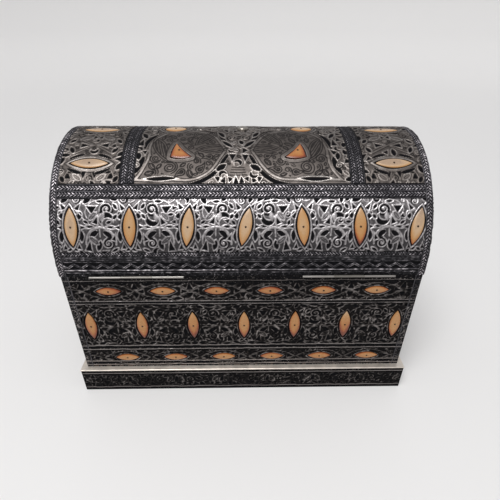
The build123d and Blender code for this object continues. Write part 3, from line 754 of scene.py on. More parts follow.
# %% [markdown]
# Long lines and plaited ribs run the whole length of many strips: plain wires, dark grooves,
# braids, punch marks and a zigzag. They need no window, so they are drawn on the whole canvas at
# once.

# %% Running ornament
draw = np.random.default_rng(7)


def all_of(canvas, upright=False):
    """Every point of a canvas with its coordinates, swapped for an upright strip."""
    along, up = np.meshgrid(canvas.low[0] + RAW * np.arange(canvas.count[0]),
                            canvas.low[1] + RAW * np.arange(canvas.count[1]))
    everywhere = (slice(None), slice(None))
    return (everywhere, up, along) if upright else (everywhere, along, up)


def wire_line(canvas, at, half_width=0.8, rise=RIDGE, shine=1.0, upright=False):
    """A plain raised wire across the whole canvas."""
    place, along, up = all_of(canvas, upright)
    wave = 0.25 * np.sin(0.09 * along + at) + 0.15 * np.sin(0.31 * along)
    canvas.raised(place, up - at - wave, half_width, rise, shine)


def dark_line(canvas, at, half_width=1.0, upright=False):
    """A groove down to the ground."""
    place, along, up = all_of(canvas, upright)
    canvas.pierced(place, np.abs(up - at) - half_width, 0.0)


def braid(canvas, at, half_width=3.2, spacing=4.6, rise=0.75, shine=1.0, upright=False):
    """A plaited rope: two rows of slanting strokes that meet in the middle, worn unevenly."""
    place, along, up = all_of(canvas, upright)
    across = up - at
    run = along - along.min() + 1.1 * np.abs(across) + 0.7 * np.sin(0.23 * along + at)
    level = np.zeros(along.shape)
    for k, side in enumerate((-1, 1)):
        beat = run / spacing + 0.5 * k
        rubbed = draw.uniform(0.7, 1.1, int(beat.max()) + 2)[beat.astype(int)]
        u = (beat % 1.0 - 0.5) / 0.31
        v = (across - 0.5 * side * half_width) / (0.56 * half_width)
        level = np.maximum(level, rubbed * np.sqrt(np.clip(1.0 - u ** 2 - v ** 4, 0.0, 1.0)))
    on = np.abs(across) < half_width
    canvas.height[place][on] = (rise * (1.3 * level - 0.4))[on]
    canvas.shine[place][on] = (shine * level)[on]


def stippled(canvas, low, high, grain=2.0, rise=0.5, upright=False, shine=0.92):
    """A band of rough punch marks."""
    place, along, up = all_of(canvas, upright)
    rows = int((up.max() - up.min()) / grain) + 3
    columns = int((along.max() - along.min()) / grain) + 3
    marks = draw.random((rows, columns))
    i = (along - along.min()) / grain
    j = (up - up.min()) / grain + 0.5 * (i.astype(int) % 2)
    mark = marks[j.astype(int), i.astype(int)]
    fall = 1 - 1.6 * ((i % 1 - 0.5) ** 2 + (j % 1 - 0.5) ** 2) * 2
    on = (up > low) & (up < high)
    level = np.clip(mark * 1.3 - 0.3, 0, 1) * np.clip(fall, 0, 1)
    canvas.height[place][on] = (rise * level - 0.2)[on]
    canvas.shine[place][on] = (shine * level)[on]


def zigzag(canvas, low, high, period=20.0, half_width=0.6):
    """A row of dark triangles with a thin double line between them, up and down."""
    place, along, up = all_of(canvas)
    swing = np.abs(np.mod(along / period, 1.0) - 0.5) * 2
    middle = low + (high - low) * swing
    slope = math.cos(math.atan(2 * (high - low) / period))
    off = (up - middle) * slope
    past_edges = np.maximum(low - 1.0 - up, up - high - 1.0)
    canvas.pierced(place, np.maximum(past_edges, 1.6 - np.abs(off)), 0.0)
    for shift in (-1.1, 1.1):
        canvas.raised(place, off - shift, half_width, rise=0.5, shine=0.8)


# %% [markdown]
# Between the main motifs a maker leaves no bare metal: every gap gets a leaf-shaped hole, a hollow
# triangle, a small moon or a curl that just fits. On the lid's top the smallest gaps are chased
# with fine lines instead. Each of these motifs fills a round spot of a given size.

# %% Motifs for the gaps
def paisley(canvas, place, u, v, size):
    """An engraved drop with a bent tail, a second line inside it and an eye."""
    bent = v - 0.22 * np.clip(u, 0.0, None) ** 2 / size
    edge = teardrop(u, bent, size, 2.3 * size)
    canvas.engraved(place, edge, 1.15, 0.4)
    canvas.engraved(place, np.where(edge < 0, edge + 2.8, FAR), 1.0, 0.3)
    canvas.engraved(place, np.hypot(u, v) - 0.25 * size, 0.9, 0.3)
    canvas.worked[place] |= edge < 1.0


def chase(canvas, along, up, size, shine):
    """One engraved motif that fits a gap: a curl, a veined leaf or nested arcs."""
    pick, angle, hand = draw.random(), draw.uniform(0, 360), 1 if draw.random() < 0.5 else -1
    place, u, v = canvas.near(along, up, 1.4 * size, angle)
    round_edge = np.hypot(u, v) - size
    pointed_edge = lens(u, v, 2.5 * size, 1.35 * size)
    if pick < 0.4:
        canvas.engraved(place, spiral(u, v, size, 0.8 + size / 7.0, hand), 1.1, 0.35)
        edge = round_edge
    elif pick < 0.75:
        veins = np.abs((v + 0.3 * np.abs(u)) % 3.0 - 1.5)
        canvas.engraved(place, np.where(pointed_edge < -0.8, veins, FAR), 0.9, 0.3)
        canvas.engraved(place, pointed_edge, 1.1, 0.4)
        edge = pointed_edge
    else:
        arcs = np.abs(np.hypot(u + 0.9 * size, v) % 3.2 - 1.6)
        canvas.engraved(place, np.where(round_edge < 0, arcs, FAR), 1.1, 0.35)
        edge = round_edge
    canvas.worked[place] |= edge < 0.6


def punch(canvas, along, up, size, shine):
    """One small motif that fits a gap of that radius."""
    pick, angle = draw.random(), draw.uniform(0, 180)
    lip = min(1.1, 0.3 * size)
    if size > 3.5 and pick < 0.3:
        scroll(canvas, along, up, size, angle, 1 if pick < 0.15 else -1, shine=shine)
    elif size > 3.5 and pick < 0.5:
        leaf(canvas, along, up, 2.3 * size, 1.1 * size, angle, shine=0.75 * shine)
    elif pick < 0.7:
        hole_lens(canvas, along, up, 2.5 * size, 1.2 * size, angle, lip, shine)
    elif pick < 0.88:
        hole_wedge(canvas, along, up, 2.0 * size, 1.8 * size, 2 * angle, lip, shine)
    else:
        hole_crescent(canvas, along, up, 1.05 * size, 0.8 * size, 2 * angle, lip, shine)


# %% [markdown]
# The script finds the gaps as a maker's eye does. It grows everything worked so far by the size of
# a punch, and wherever bare sheet is left, that punch still fits. The large ones go first.

# %% Filling the gaps
def grown(worked, reach):
    """The worked area, wider by a reach."""
    wide = worked.copy()
    for k in range(max(1, round(reach / RAW))):
        more = wide.copy()
        more[1:] |= wide[:-1]
        more[:-1] |= wide[1:]
        more[:, 1:] |= wide[:, :-1]
        more[:, :-1] |= wide[:, 1:]
        if k % 2:
            more[1:, 1:] |= wide[:-1, :-1]
            more[:-1, :-1] |= wide[1:, 1:]
            more[1:, :-1] |= wide[:-1, 1:]
            more[:-1, 1:] |= wide[1:, :-1]
        wide = more
    return wide


def fill_gaps(canvas, sizes=(6.0, 4.2, 2.9), shine=0.9, motif=punch, keep_out=False):
    """Puts something into every bare gap, large ones first."""
    for size in sizes:
        spots = np.argwhere(~grown(canvas.worked | keep_out, size))
        draw.shuffle(spots)
        taken = np.zeros((0, 2))
        for j, i in spots:
            here = np.array((canvas.low[0] + RAW * i, canvas.low[1] + RAW * j))
            if len(taken) and np.min(np.hypot(*(taken - here).T)) < 1.9 * size:
                continue
            taken = np.vstack([taken, here])
            motif(canvas, *here, size, shine)


# %% [markdown]
# What bare metal is left gets fine marks. Then years of polishing are laid over the whole sheet:
# the brightness varies softly from spot to spot. A folded edge stays flat.

# %% Chased ground and wear
def roughen(canvas):
    """The bare metal that is left is chased with fine marks."""
    chased = draw.random(canvas.height.shape)
    bare = ~canvas.worked
    canvas.height[bare] -= 0.10 * chased[bare]
    canvas.shine[bare] *= 0.75 + 0.35 * chased[bare]


def worn(canvas, grain=3.0, least=0.5, most=1.1):
    """Uneven rubbing: the brightness varies from spot to spot."""
    up, along = (np.arange(count) * RAW / grain for count in canvas.height.shape)
    marks = draw.uniform(least, most, (int(up[-1]) + 2, int(along[-1]) + 2))
    j, i = up.astype(int)[:, None], along.astype(int)[None, :]
    fj, fi = (up % 1.0)[:, None], (along % 1.0)[None, :]
    lower = marks[j, i] * (1 - fi) + marks[j, i + 1] * fi
    upper = marks[j + 1, i] * (1 - fi) + marks[j + 1, i + 1] * fi
    canvas.shine *= lower * (1 - fj) + upper * fj


def folded_edges(canvas, width=1.5):
    """A sheet's edges are folded over a former, so they stay flat."""
    rows = round(width / RAW)
    for edge in (np.s_[:rows], np.s_[-rows:], np.s_[:, :rows], np.s_[:, -rows:]):
        canvas.height[edge] = 0.0
        canvas.shine[edge] = np.minimum(canvas.shine[edge], 0.5)


# %% [markdown]
# ## The lid's back band
# This is the richest strip: between each two upright bones a round arch holds a leaf and a scroll,
# and above it a lobed leaf curls round a second scroll. Each field is the last one mirrored, as a
# maker does who turns the pattern over, so a field has a hand of its own. Its motifs are placed
# from its middle, and the same field comes back on the walls and on the lid's ends.

# %% One field between two upright bones
arch_radius = 20.5
arch_drop = 22.0


class Field:
    """A stretch of pattern with its own middle, hand and brightness."""

    def __init__(self, canvas, a, b, hand=1, shine=0.8, squeeze=1.0):
        self.canvas = canvas
        self.middle = (a, b)
        self.hand, self.shine, self.squeeze = hand, shine, squeeze

    def at(self, u, w):
        """Where a place of the field lies on the canvas."""
        return self.middle[0] + self.hand * u * self.squeeze, self.middle[1] + w

    def turn(self, angle):
        """What an angle of the field is on the canvas."""
        return angle if self.hand > 0 else 180 - angle

    def near(self, u, w, reach, angle=0):
        """The canvas's points round a place of the field."""
        return self.canvas.near(*self.at(u, w), reach, self.turn(angle))

    def cut(self, tool, u, w, *sizes, **look):
        """Works one motif: its punch, its place, its sizes with the angle last, and its look."""
        *sizes, angle = sizes
        look.setdefault("shine", self.shine)
        tool(self.canvas, *self.at(u, w), *sizes, self.turn(angle), **look)


def band_cell(canvas, a, b, hand, shine=1.0, squeeze=1.0):
    """The field between two upright bones."""
    field = Field(canvas, a, b, hand, shine, squeeze)
    # flanks of the almonds
    for e in (-1, 1):
        field.cut(hole_wedge, 29.5 * e, 27, 8, 5, 90 + 30 * e)
        field.cut(hole_lens, 27.0 * e, 15, 10, 5.5, 90 + 12 * e)
        field.cut(hole_lens, 26.5 * e, -14, 15, 5.4, 90)
        field.cut(hole_wedge, 30.5 * e, -29, 6, 5, 90)
        field.cut(hole_lens, 36.0 * e, -33, 6, 3, 30 * e)
        bow(canvas, *field.at(40.0 * e, 4), 19, 95 if e * hand > 0 else 15, 70, shine=shine)
    # lower half: a round arch over a leaf and a scroll
    place, u, v = canvas.near(a, b - arch_drop, 26)
    arch = np.hypot(u, v) - arch_radius
    for e in (-1, 1):
        moon(canvas, place, u, v, arch, 90 + 42 * e, 56, -5.6, 6.5, shine)
    bow(canvas, a, b - arch_drop, arch_radius, -10, 200, 1.8, shine)
    field.cut(bar, -1.0, -9, 10, 88, half_width=1.3)
    field.cut(hole_wedge, -16.5, -28, 13, 8.0, 80)
    field.cut(hole_lens, -3.0, -27, 14, 6.0, 75)
    field.cut(leaf, -10.0, -20, 17, 8.0, -38, shine=leaf_shine)
    field.cut(scroll, 9.5, -24, 8.2, 100, hand=hand)
    field.cut(hole_wedge, 18.5, -16, 7, 5, 70)
    field.cut(hole_lens, 18.0, -34, 9, 3, 30)
    # the level bar with slits
    for e in (-1, 1):
        field.cut(hole_lens, 15.5 * e, -1.0, 11, 2.8, -4 * e)
        field.cut(hole_wedge, 24.0 * e, -1.5, 5, 4, 90 + 90 * e)
    # upper half: a lobed leaf, a dark triangle and a round scroll
    start, sweep = (95, 120) if hand > 0 else (5, 80)
    bow(canvas, *field.at(-4, 20), 15.5, start, sweep, 1.0, shine)
    field.cut(hole_wedge, -13.0, 25, 11, 10.5, 150)
    field.cut(leaf, -9.5, 13.5, 15, 8, 48, shine=leaf_shine)
    field.cut(hole_wedge, -5.0, 7.5, 8.5, 6.5, 70)
    field.cut(scroll, 8.5, 23, 9.6, 200, hand=-hand)
    field.cut(hole_crescent, 9.0, 9.5, 9.0, 6.5, 20)
    place, u, v = field.near(3.5, 13.0, 12, 80)
    canvas.domed(place, lens(u, v, 15, 6.5), rise=0.6, slope=2.5, shine=0.85 * shine)
    field.cut(hole_lens, 20.5, 27, 8, 3.5, -55)
    field.cut(hole_lens, 20.5, 13, 7, 3.5, 55)
    field.cut(hole_lens, 0.0, 34.0, 9, 3.0, 0)


# %% [markdown]
# A whole band is eight such fields. The lips round the bones are punched last, over the fields,
# and each band is painted darker towards its lower edge, a painted shade where the dome turns away
# from the light.

# %% Draw and bend the two wide bands
binding_width = 10.5
rim_run = 39.0
band_run = 74.5
strip_run = 22.5
band_half = lid_half - binding_width


def round_bones(canvas, bones, shine=1.0):
    """The raised lips round every upright bone of a sheet."""
    for along, up, kind, angle in bones:
        rim(canvas, along, up, *kind, angle, shine)


def band_canvas(start, bones, phase):
    """The drawing of one wide band."""
    canvas = Canvas(-band_half, band_half, start, start + band_run, 0.0, 0.52, 0.5, phase)
    middle = start + band_run / 2
    first = bones[0][0] - bone_pitch / 2
    for i in range(len(back_leans) + 1):
        band_cell(canvas, first + bone_pitch * i, middle, 1 if i % 2 else -1)
    round_bones(canvas, bones)
    fill_gaps(canvas, (5.5, 3.8, 2.8))
    roughen(canvas)
    worn(canvas, 2.2, 0.75, 1.15)
    # painted shade: the side towards the seam, where the dome turns away from the light, is darker
    share = np.linspace(0.0, 1.0, canvas.count[1])[:, None]
    painted_shade = 1.0 - share if start < crown_run else share
    canvas.shine = np.clip(canvas.shine, 0.0, 1.0) ** (1.0 + 0.9 * painted_shade) * (1.0 - 0.28 * painted_shade)
    return canvas


back_band = emboss("back_band_embossing", band_canvas(rim_run, back_band_bones, 0.7), lid_skin,
                   strip_pitch)
fitted(back_band, "lid", ["lid_back_band"], lid_band_nickel_painted_highlight)
front_start = full_run - rim_run - band_run
front_band = emboss("front_band_embossing", band_canvas(front_start, front_band_bones, 2.1),
                    lid_skin, strip_pitch)
fitted(front_band, "lid", ["lid_front_band"], lid_band_nickel_painted_highlight)


# %% [markdown]
# ## The lid's rim, strips and bindings
# Narrow strips cover the edges of the larger sheets. They carry plaited ribs between plain wires,
# and the rim has punch marks, a zigzag and wires above the seam. Its lines are given as heights
# over the seam.

# %% The rim strips
rim_grooves = (8.6, 12.4, 22.4, 33.2, 38.0)
rim_thin_wires = (24.0, 27.0, 29.6, 32.0)
rim_braid = 35.6


def rim_canvas(flipped):
    """The strip over the seam, drawn from the seam up."""
    canvas = Canvas(-band_half, band_half, 0.0, rim_run, -0.2, 0.10, 0.22, 1.0)
    stippled(canvas, 0.0, 9.5, grain=2.0, rise=0.4, shine=0.9)
    stippled(canvas, 22.0, 34.0, grain=2.2, rise=0.3, shine=0.6)
    zigzag(canvas, 14.0, 20.5)
    for at in rim_grooves:
        dark_line(canvas, at, 0.8)
    for at in rim_thin_wires:
        wire_line(canvas, at, 0.6, rise=0.3, shine=0.6)
    wire_line(canvas, 10.6, 1.1, shine=0.85)
    wire_line(canvas, 6.6, 0.7, rise=0.4, shine=0.6)
    braid(canvas, rim_braid, 2.2, spacing=4.0)
    worn(canvas, 3.0, 0.35, 1.5)
    if flipped:
        canvas.height = canvas.height[::-1]
        canvas.shine = canvas.shine[::-1]
        canvas.low = (canvas.low[0], full_run - rim_run)
    return canvas


for name, flipped in (("back", False), ("front", True)):
    piece = emboss(f"{name}_rim_embossing", rim_canvas(flipped), lid_skin, strip_pitch)
    fitted(piece, "lid", [f"lid_{name}_rim"], strip_nickel)


# %% [markdown]
# The strips over the joints of the top have two braids each, and so do the cross strips, which are
# drawn upright. Upright strips are a little dimmer.

# %% The strips along and across the top
top_start = rim_run + band_run + strip_run
strip_rib_runs = (6.5, 16.0)


def strip_canvas(a0, a1, b0, b1, upright):
    """Two plaited ribs between thin wires."""
    canvas = Canvas(a0, a1, b0, b1, -0.5, 0.04, 0.3, 0.24)
    start = a0 if upright else b0
    width = (a1 - a0) if upright else (b1 - b0)
    for rib in strip_rib_runs:
        at = start + rib * width / strip_run
        braid(canvas, at, 3.3, upright=upright)
        for side in (-1, 1):
            wire_line(canvas, at + side * 4.5, 0.7, rise=0.3, shine=0.5, upright=upright)
    worn(canvas, 4.0, 0.75, 1.15)
    if upright:
        canvas.shine *= 0.82
    return canvas


long_strips = []
for start in (rim_run + band_run, full_run - top_start):
    canvas = strip_canvas(-band_half, band_half, start, start + strip_run, False)
    long_strips.append(emboss("long_strip", canvas, lid_skin, strip_pitch))
fitted(joined("long_strip_embossing", long_strips), "lid", ["lid_long_strips"],
       strip_nickel)

cross_inner = 150.0
cross_outer = 172.0
cross_strips = []
for a0, a1 in ((-cross_outer, -cross_inner), (cross_inner, cross_outer)):
    canvas = strip_canvas(a0, a1, top_start, full_run - top_start, True)
    cross_strips.append(emboss("cross_strip", canvas, lid_skin, strip_pitch))
fitted(joined("cross_strip_embossing", cross_strips), "lid", ["lid_cross_strips"],
       strip_nickel)


# %% [markdown]
# The bindings run up and over the lid along its two edges.

# %% The edge bindings
bindings = []
for side in (-1, 1):
    a0, a1 = sorted((side * band_half, side * lid_half))
    canvas = Canvas(a0, a1, 0.0, full_run, -0.3, 0.05, 0.3, side)
    braid(canvas, (a0 + a1) / 2, 3.1, rise=0.6, upright=True)
    for at in (a0 + 1.1, a1 - 1.1):
        wire_line(canvas, at, 0.9, rise=0.6, shine=0.5, upright=True)
    worn(canvas, 4.0, 0.75, 1.4)
    bindings.append(emboss("binding", canvas, lid_skin, strip_pitch))
fitted(joined("edge_binding_embossing", bindings), "lid", ["lid_edge_bindings"],
       strip_nickel)


# %% [markdown]
# ## The three panels of the top
# The outer panels have three level bones one above the other, each in pointed lips whose tips run
# out to the border, with arcs, leaves and scrolls between. A panel is drawn from its middle line
# to both sides, and its lower and upper edges are mirrored.

# %% The outer panels
pointed_lip = (63, 24)


def panel_field(canvas, a, b):
    """The ornament between two level bones of an outer panel: a cross of bands and leaves."""
    field = Field(canvas, a, b)
    for s in (-1, 1):
        place, u, v = canvas.near(a, b - 12, 34, 32 * s)
        hoop(canvas, place, np.where(np.abs(u) < 32, v, FAR), 3.6)
    for s in (-1, 1):
        field.cut(hole_wedge, 13 * s, -12, 12, 9, 90 + 90 * s)
        field.cut(hole_lens, 31 * s, -22, 13, 5.5, 65 * s)
        field.cut(hole_lens, 33 * s, -2, 12, 5, -55 * s)
        field.cut(leaf, 16 * s, 5, 19, 8, -22 * s, shine=leaf_shine)
        field.cut(hole_wedge, 4.5 * s, 9, 8, 6, 90 - 20 * s)
        field.cut(scroll, 27 * s, 15, 6.5, 90 * s, hand=s, shine=0.7 * field.shine)
        field.cut(hole_lens, 12 * s, 20, 16, 4.0, -24 * s)
        field.cut(hole_wedge, 37 * s, 22, 7, 6, 90 + 50 * s)


def panel_edge(canvas, a, b, way):
    """The row of leaves and arcs between the first bone and the border."""
    field = Field(canvas, a, b, shine=0.6)
    for s in (-1, 1):
        field.cut(leaf, 17 * s, 0, 15, 8, 35 * s * way)
        field.cut(hole_wedge, 30 * s, 3 * way, 10, 8, 90 * way)
        field.cut(hole_wedge, 8 * s, 4 * way, 9, 7, -90 * way)
        field.cut(hole_lens, 22 * s, 9 * way, 16, 5, -12 * s * way)
        field.cut(hole_lens, 37 * s, -3 * way, 10, 5, 60 * s)
    field.cut(scroll, 0, -way, 5.0, 90)


def outer_panel_canvas(side):
    """One outer panel, with its lower and upper edges mirrored at the crown."""
    a0, a1 = sorted((side * cross_outer, side * band_half))
    middle = (a0 + a1) / 2
    canvas = Canvas(a0, a1, top_start, full_run - top_start, 0.0, 0.46, 0.5, 1.3 * side)
    for way in (1, -1):
        panel_edge(canvas, middle, crown_run - way * (crown_run - top_start - 9.0), way)
    bone_gap = crown_run - panel_bone_run
    panel_field(canvas, middle, crown_run - 0.46 * bone_gap)
    panel_field(canvas, middle, crown_run + 0.54 * bone_gap)
    for along, run, kind, angle in panel_bones:
        if along * side > 0:
            place, u, v = canvas.near(along, run, 40)
            hoop(canvas, place, lens(u, v, *pointed_lip), 4.2)
            rim(canvas, along, run, *kind, angle, 0.75, gap=1.0, outer=False)
            for s in (-1, 1):
                place, u, v = canvas.near(along, run, 40, 90 - 90 * s)
                for turn in (38, -38):
                    moon(canvas, place, u, v, lens(u, v, *pointed_lip), turn, 44, 5.0, 5.0, 0.8)
    fill_gaps(canvas, (5.4, 3.6), shine=0.75)
    fill_gaps(canvas, (3.4, 2.4), motif=chase)
    worn(canvas, 4.0, 0.85, 1.1)
    return canvas


for side, name in ((-1, "right"), (1, "left")):
    piece = emboss(f"{name}_panel_embossing", outer_panel_canvas(side), lid_skin)
    fitted(piece, "lid", [f"lid_{name}_panel"], lid_top_nickel_patina_and_shade)


# %% [markdown]
# The petal bones of the middle panel need an outline of their own: two bellied sides that meet in
# a leaning tip, and a rounded foot. The same points shape the bone, the window's lips and the
# hoop.

# %% The petal's outline
def petal_outline(kind, angle, count=48):
    """Points round a petal: two bellied sides from the tip, and a rounded foot."""
    wide, tall, lean = kind
    flip = -1.0 if angle == 180 else 1.0
    foot, third = -0.40 * tall, count // 3
    tip = np.array((lean * flip, tall / 2))
    left_foot, right_foot = [np.array((side * wide / 2, foot)) for side in (-1, 1)]
    hollow, full = -0.6, 1.6
    down, up = (hollow, full) if lean < 0 else (full, hollow)
    points = []
    for start, end, belly in ((tip, left_foot, down), (left_foot, right_foot, -0.10 * tall),
                              (right_foot, tip, up)):
        step = end - start
        across = np.array((-step[1], step[0])) / np.hypot(*step)
        for k in range(third):
            t = k / third
            points.append(start + step * t + across * belly * 4 * t * (1 - t))
    return flip * np.array(points)


def petal_distance(u, v, kind, angle):
    """How far points are from a petal's edge, negative inside."""
    outline = petal_outline(kind, angle, 24)
    nearest = np.full(u.shape, 1e3)
    inside = np.ones(u.shape, bool)
    middle = outline.mean(axis=0)
    for start, end in zip(outline, np.roll(outline, -1, axis=0)):
        step = end - start
        t = ((u - start[0]) * step[0] + (v - start[1]) * step[1]) / (step @ step)
        t = np.clip(t, 0, 1)
        off = np.hypot(u - start[0] - t * step[0], v - start[1] - t * step[1])
        nearest = np.minimum(nearest, off)
        turned = (u - start[0]) * step[1] - (v - start[1]) * step[0]
        home = (middle[0] - start[0]) * step[1] - (middle[1] - start[1]) * step[0]
        inside &= turned * home > 0
    return np.where(inside, -nearest, nearest)


# %% [markdown]
# The middle panel has four great rings. Each is pointed towards the middle and swept out into its
# corner, with petals and curls inside. One quarter is drawn, and its hand and its way up or down
# place it four times.

# %% One quarter of the middle panel
ring_along = 76.0
ring_run = 193.0
ring_radius = 52.0
ring_reach = 57.0
sweep_radius = 58.0
sweep_across = 110.0
sweep_down = 11.0


class Quarter(Field):
    """A quarter of the middle panel, placed by a distance along the lid and a run."""

    def __init__(self, canvas, hand, way):
        super().__init__(canvas, centre_shift, crown_run, hand)
        self.way = way

    def at(self, a, b):
        shift, crown = self.middle
        return shift + self.hand * a, crown - self.way * (crown - b)

    def turn(self, angle):
        angle = super().turn(angle)
        return angle if self.way > 0 else -angle


def great_ring(quarter):
    """A ring that is pointed towards the middle and swept out into the panel's corner."""
    canvas, shine = quarter.canvas, quarter.shine
    s, w = quarter.hand, quarter.way
    place, u, v = canvas.near(*quarter.at(ring_along, ring_run), 82, 0 if s < 0 else 180)
    v = v * (w if s < 0 else -w)
    sweep_out = sweep_radius - np.hypot(u + sweep_across, v + sweep_down)
    flare = np.maximum.reduce([sweep_out, -ring_radius - v, v + sweep_down, u])
    ring = np.minimum(teardrop(u, v, ring_radius, ring_reach), flare)
    canvas.ringed[place] |= ring < 2.0
    hoop(canvas, place, ring, 4.6)
    for bend, sweep, width in ((-58, 56, 6.0), (-20, 26, 5.0), (24, 30, 6.0), (158, 40, 6.5),
                               (118, 30, 6.0), (62, 34, 5.0)):
        moon(canvas, place, u, v, ring, bend, sweep, 7.0, width, shine)
    moon(canvas, place, u + sweep_across, v + sweep_down, sweep_out, -21, 36, 7.0, 7.5, shine)
    hole_lens(canvas, *quarter.at(108, 143.0), 42, 5.5, 0, shine=0.9)


def fine_plants(quarter):
    """Engraved leaves on each side of the petal, curls below it and small drops."""
    canvas = quarter.canvas
    for a, b, length, width, angle in ((112, 197, 44, 13, 68), (36, 196, 40, 11, -4),
                                       (46, 224, 44, 12, -50)):
        place, u, v = quarter.near(a, b, 30, angle)
        edge = lens(u, v, length, width)
        plume = np.abs((v + 0.16 * u) % 3.3 - 1.65)
        canvas.engraved(place, np.where(edge < -1.0, plume, FAR), 1.0, 0.3)
        canvas.engraved(place, edge, 1.2, 0.4)
        canvas.engraved(place, edge - 3.2, 1.0, 0.35)
        canvas.worked[place] |= edge < 3.8
    for a, b, size, start in ((97, 161, 9.0, 60), (118, 176, 5.5, 200), (60, 172, 5.0, 20)):
        place, u, v = quarter.near(a, b, size + 3, start)
        curl = spiral(u, v, size, 1.0 + size / 7.0, quarter.hand * quarter.way)
        husk = np.hypot(u, v) - size - 1.8
        canvas.engraved(place, curl, 1.15, 0.4)
        canvas.engraved(place, np.where(v < 0.3 * size, husk, FAR), 1.0, 0.3)
        canvas.worked[place] |= np.hypot(u, v) < size + 1.5
    for a, b, size, angle in ((55, 158, 5.5, 150), (80, 153, 5.0, -20), (41, 180, 4.5, 10)):
        place, u, v = quarter.near(a, b, 3 * size, angle)
        paisley(canvas, place, u, v, size)


def quarter_field(canvas, s, w):
    """One quarter of the middle panel: s is its hand along the lid, w its way up or down."""
    quarter = Quarter(canvas, s, w)
    great_ring(quarter)
    fine_plants(quarter)
    # the corners
    quarter.cut(scroll, 143, 164, 5.5, 20, hand=s * w)
    quarter.cut(hole_lens, 142, 181, 14, 6, 80)
    quarter.cut(hole_wedge, 140, 210, 14, 8, 100)
    quarter.cut(hole_lens, 139, 228, 18, 6, 60)
    quarter.cut(scroll, 128, 243, 7.0, 120, hand=-s * w)
    # the heart of the panel
    quarter.cut(hole_lens, 24, 160, 17, 7.5, -38)
    quarter.cut(hole_wedge, 9, 178, 11, 9, -90)
    quarter.cut(hole_lens, 16, 206, 22, 6, 48)
    quarter.cut(scroll, 10, 222, 7.0, 90, hand=s, shine=0.8 * quarter.shine)
    quarter.cut(hole_lens, 26, 232, 20, 6, 60)
    for k, (length, angle) in enumerate(((9.0, 90), (6.0, -70), (8.0, 110), (6.5, -100))):
        quarter.cut(hole_wedge, 4 + 8.5 * k, 141.5, length, 6, angle)
    quarter.cut(hole_crescent, 22, 149, 5.5, 3.5, 150)


# %% [markdown]
# The four quarters leave the middle free for a few short lines and the bones' lips. The gaps
# outside the rings are pierced like the rest, and those inside them are only chased.

# %% The middle panel
crown_lip = (48, 36)


def centre_canvas():
    """The middle panel of the top."""
    canvas = Canvas(-cross_inner, cross_inner, top_start, full_run - top_start, 0.0, 0.46, 0.6, 0.2)
    canvas.ringed = np.zeros(canvas.height.shape, bool)
    for w in (1, -1):
        for s in (-1, 1):
            quarter_field(canvas, s, w)
    for w in (1, -1):
        for line in range(4):
            run = crown_run - w * (crown_run - 149.0 - 4.2 * line)
            place, u, v = canvas.near(centre_shift, run, 18)
            canvas.engraved(place, np.where(np.abs(u) < 13 - 1.5 * line, v, FAR), 0.8)
            canvas.worked[place] |= (np.abs(u) < 15) & (np.abs(v) < 2.5)
    for along, run, kind, angle in centre_bones:
        place, u, v = canvas.near(along, run, 34)
        if len(kind) == 2:
            hoop(canvas, place, lens(u, v, *crown_lip), 4.2)
            rim(canvas, along, run, *kind, angle, 0.7, gap=1.0, outer=False)
        else:
            distance = petal_distance(u, v, kind, angle)
            canvas.pierced(place, distance - 1.2, 0.0)
            hoop(canvas, place, distance - 4.6, 5.0, shine=0.5)
            canvas.raised(place, distance - 2.0, 0.9, shine=0.65)
    fill_gaps(canvas, (4.6, 3.4), shine=0.75, keep_out=canvas.ringed)
    fill_gaps(canvas, (5.2, 3.6, 2.3), motif=chase)
    worn(canvas, 4.0, 0.9, 1.2)
    return canvas


centre_pitch = 0.87 * fine_pitch
centre_panel = emboss("centre_panel_embossing", centre_canvas(), lid_skin, centre_pitch)
fitted(centre_panel, "lid", ["lid_centre_panel"], lid_top_nickel_patina_and_shade)


# %% [markdown]
# ## The walls of the box
# Each wall is one sheet in three bands with raised lines between. The top band has level bones in
# lozenges that cross, the tall band repeats the lid's arches, and the low one has small bones in
# pointed lips.

# %% The walls
wall_bead_drops = (8.0, 46.0, 50.8, 138.0, 146.2, 173.6, 181.6)
wall_groove_drop = 142.0


def lozenge_field(canvas, a, b):
    """The crossing between two level bones of the top band."""
    field = Field(canvas, a, b)
    for s in (-1, 1):
        bow(canvas, *field.at(20 * s, -16), 26, 65 + 25 * s, 60, 0.8, field.shine)
        field.cut(hole_wedge, 0, 9 * s, 11, 9, 90 * s)
        field.cut(hole_wedge, 8 * s, 0, 8, 6, 90 + 90 * s)
        field.cut(hole_lens, 19 * s, 12.5, 19, 5.5, -10 * s)
        field.cut(hole_lens, 18 * s, -12.5, 14, 4.5, 16 * s)
        field.cut(bar, 0, 0, 27, 40 * s, half_width=0.8)
        field.cut(scroll, 4.2 * s, -13.5, 3.6, 90, hand=s)


def tall_field(canvas, a, b, hand):
    """The lid's arches between two upright bones, with slits above and below them."""
    band_cell(canvas, a, b + 1, hand, shine=0.85)
    field = Field(canvas, a, b)
    for s in (-1, 1):
        field.cut(hole_lens, 12 * s, 40.5, 16, 3.5, 0)
        field.cut(hole_lens, 28 * s, 38, 12, 5, 20 * s)
        field.cut(hole_lens, 12 * s, -39, 15, 4, 0)
        field.cut(hole_lens, 28 * s, -37, 12, 4.5, -20 * s)


def low_field(canvas, a, b):
    """The small ornament between two bones of the low band."""
    field = Field(canvas, a, b, shine=0.7)
    for s in (-1, 1):
        field.cut(hole_wedge, 9 * s, 0, 9, 7, 90 + 90 * s)
        field.cut(hole_lens, 15 * s, 9, 15, 4, -20 * s)
        field.cut(hole_lens, 15 * s, -7.5, 14, 3.5, 18 * s)
        field.cut(bar, 0, 0, 20, 38 * s, half_width=0.8)
    field.cut(scroll, 0, 8, 4.5, 90)


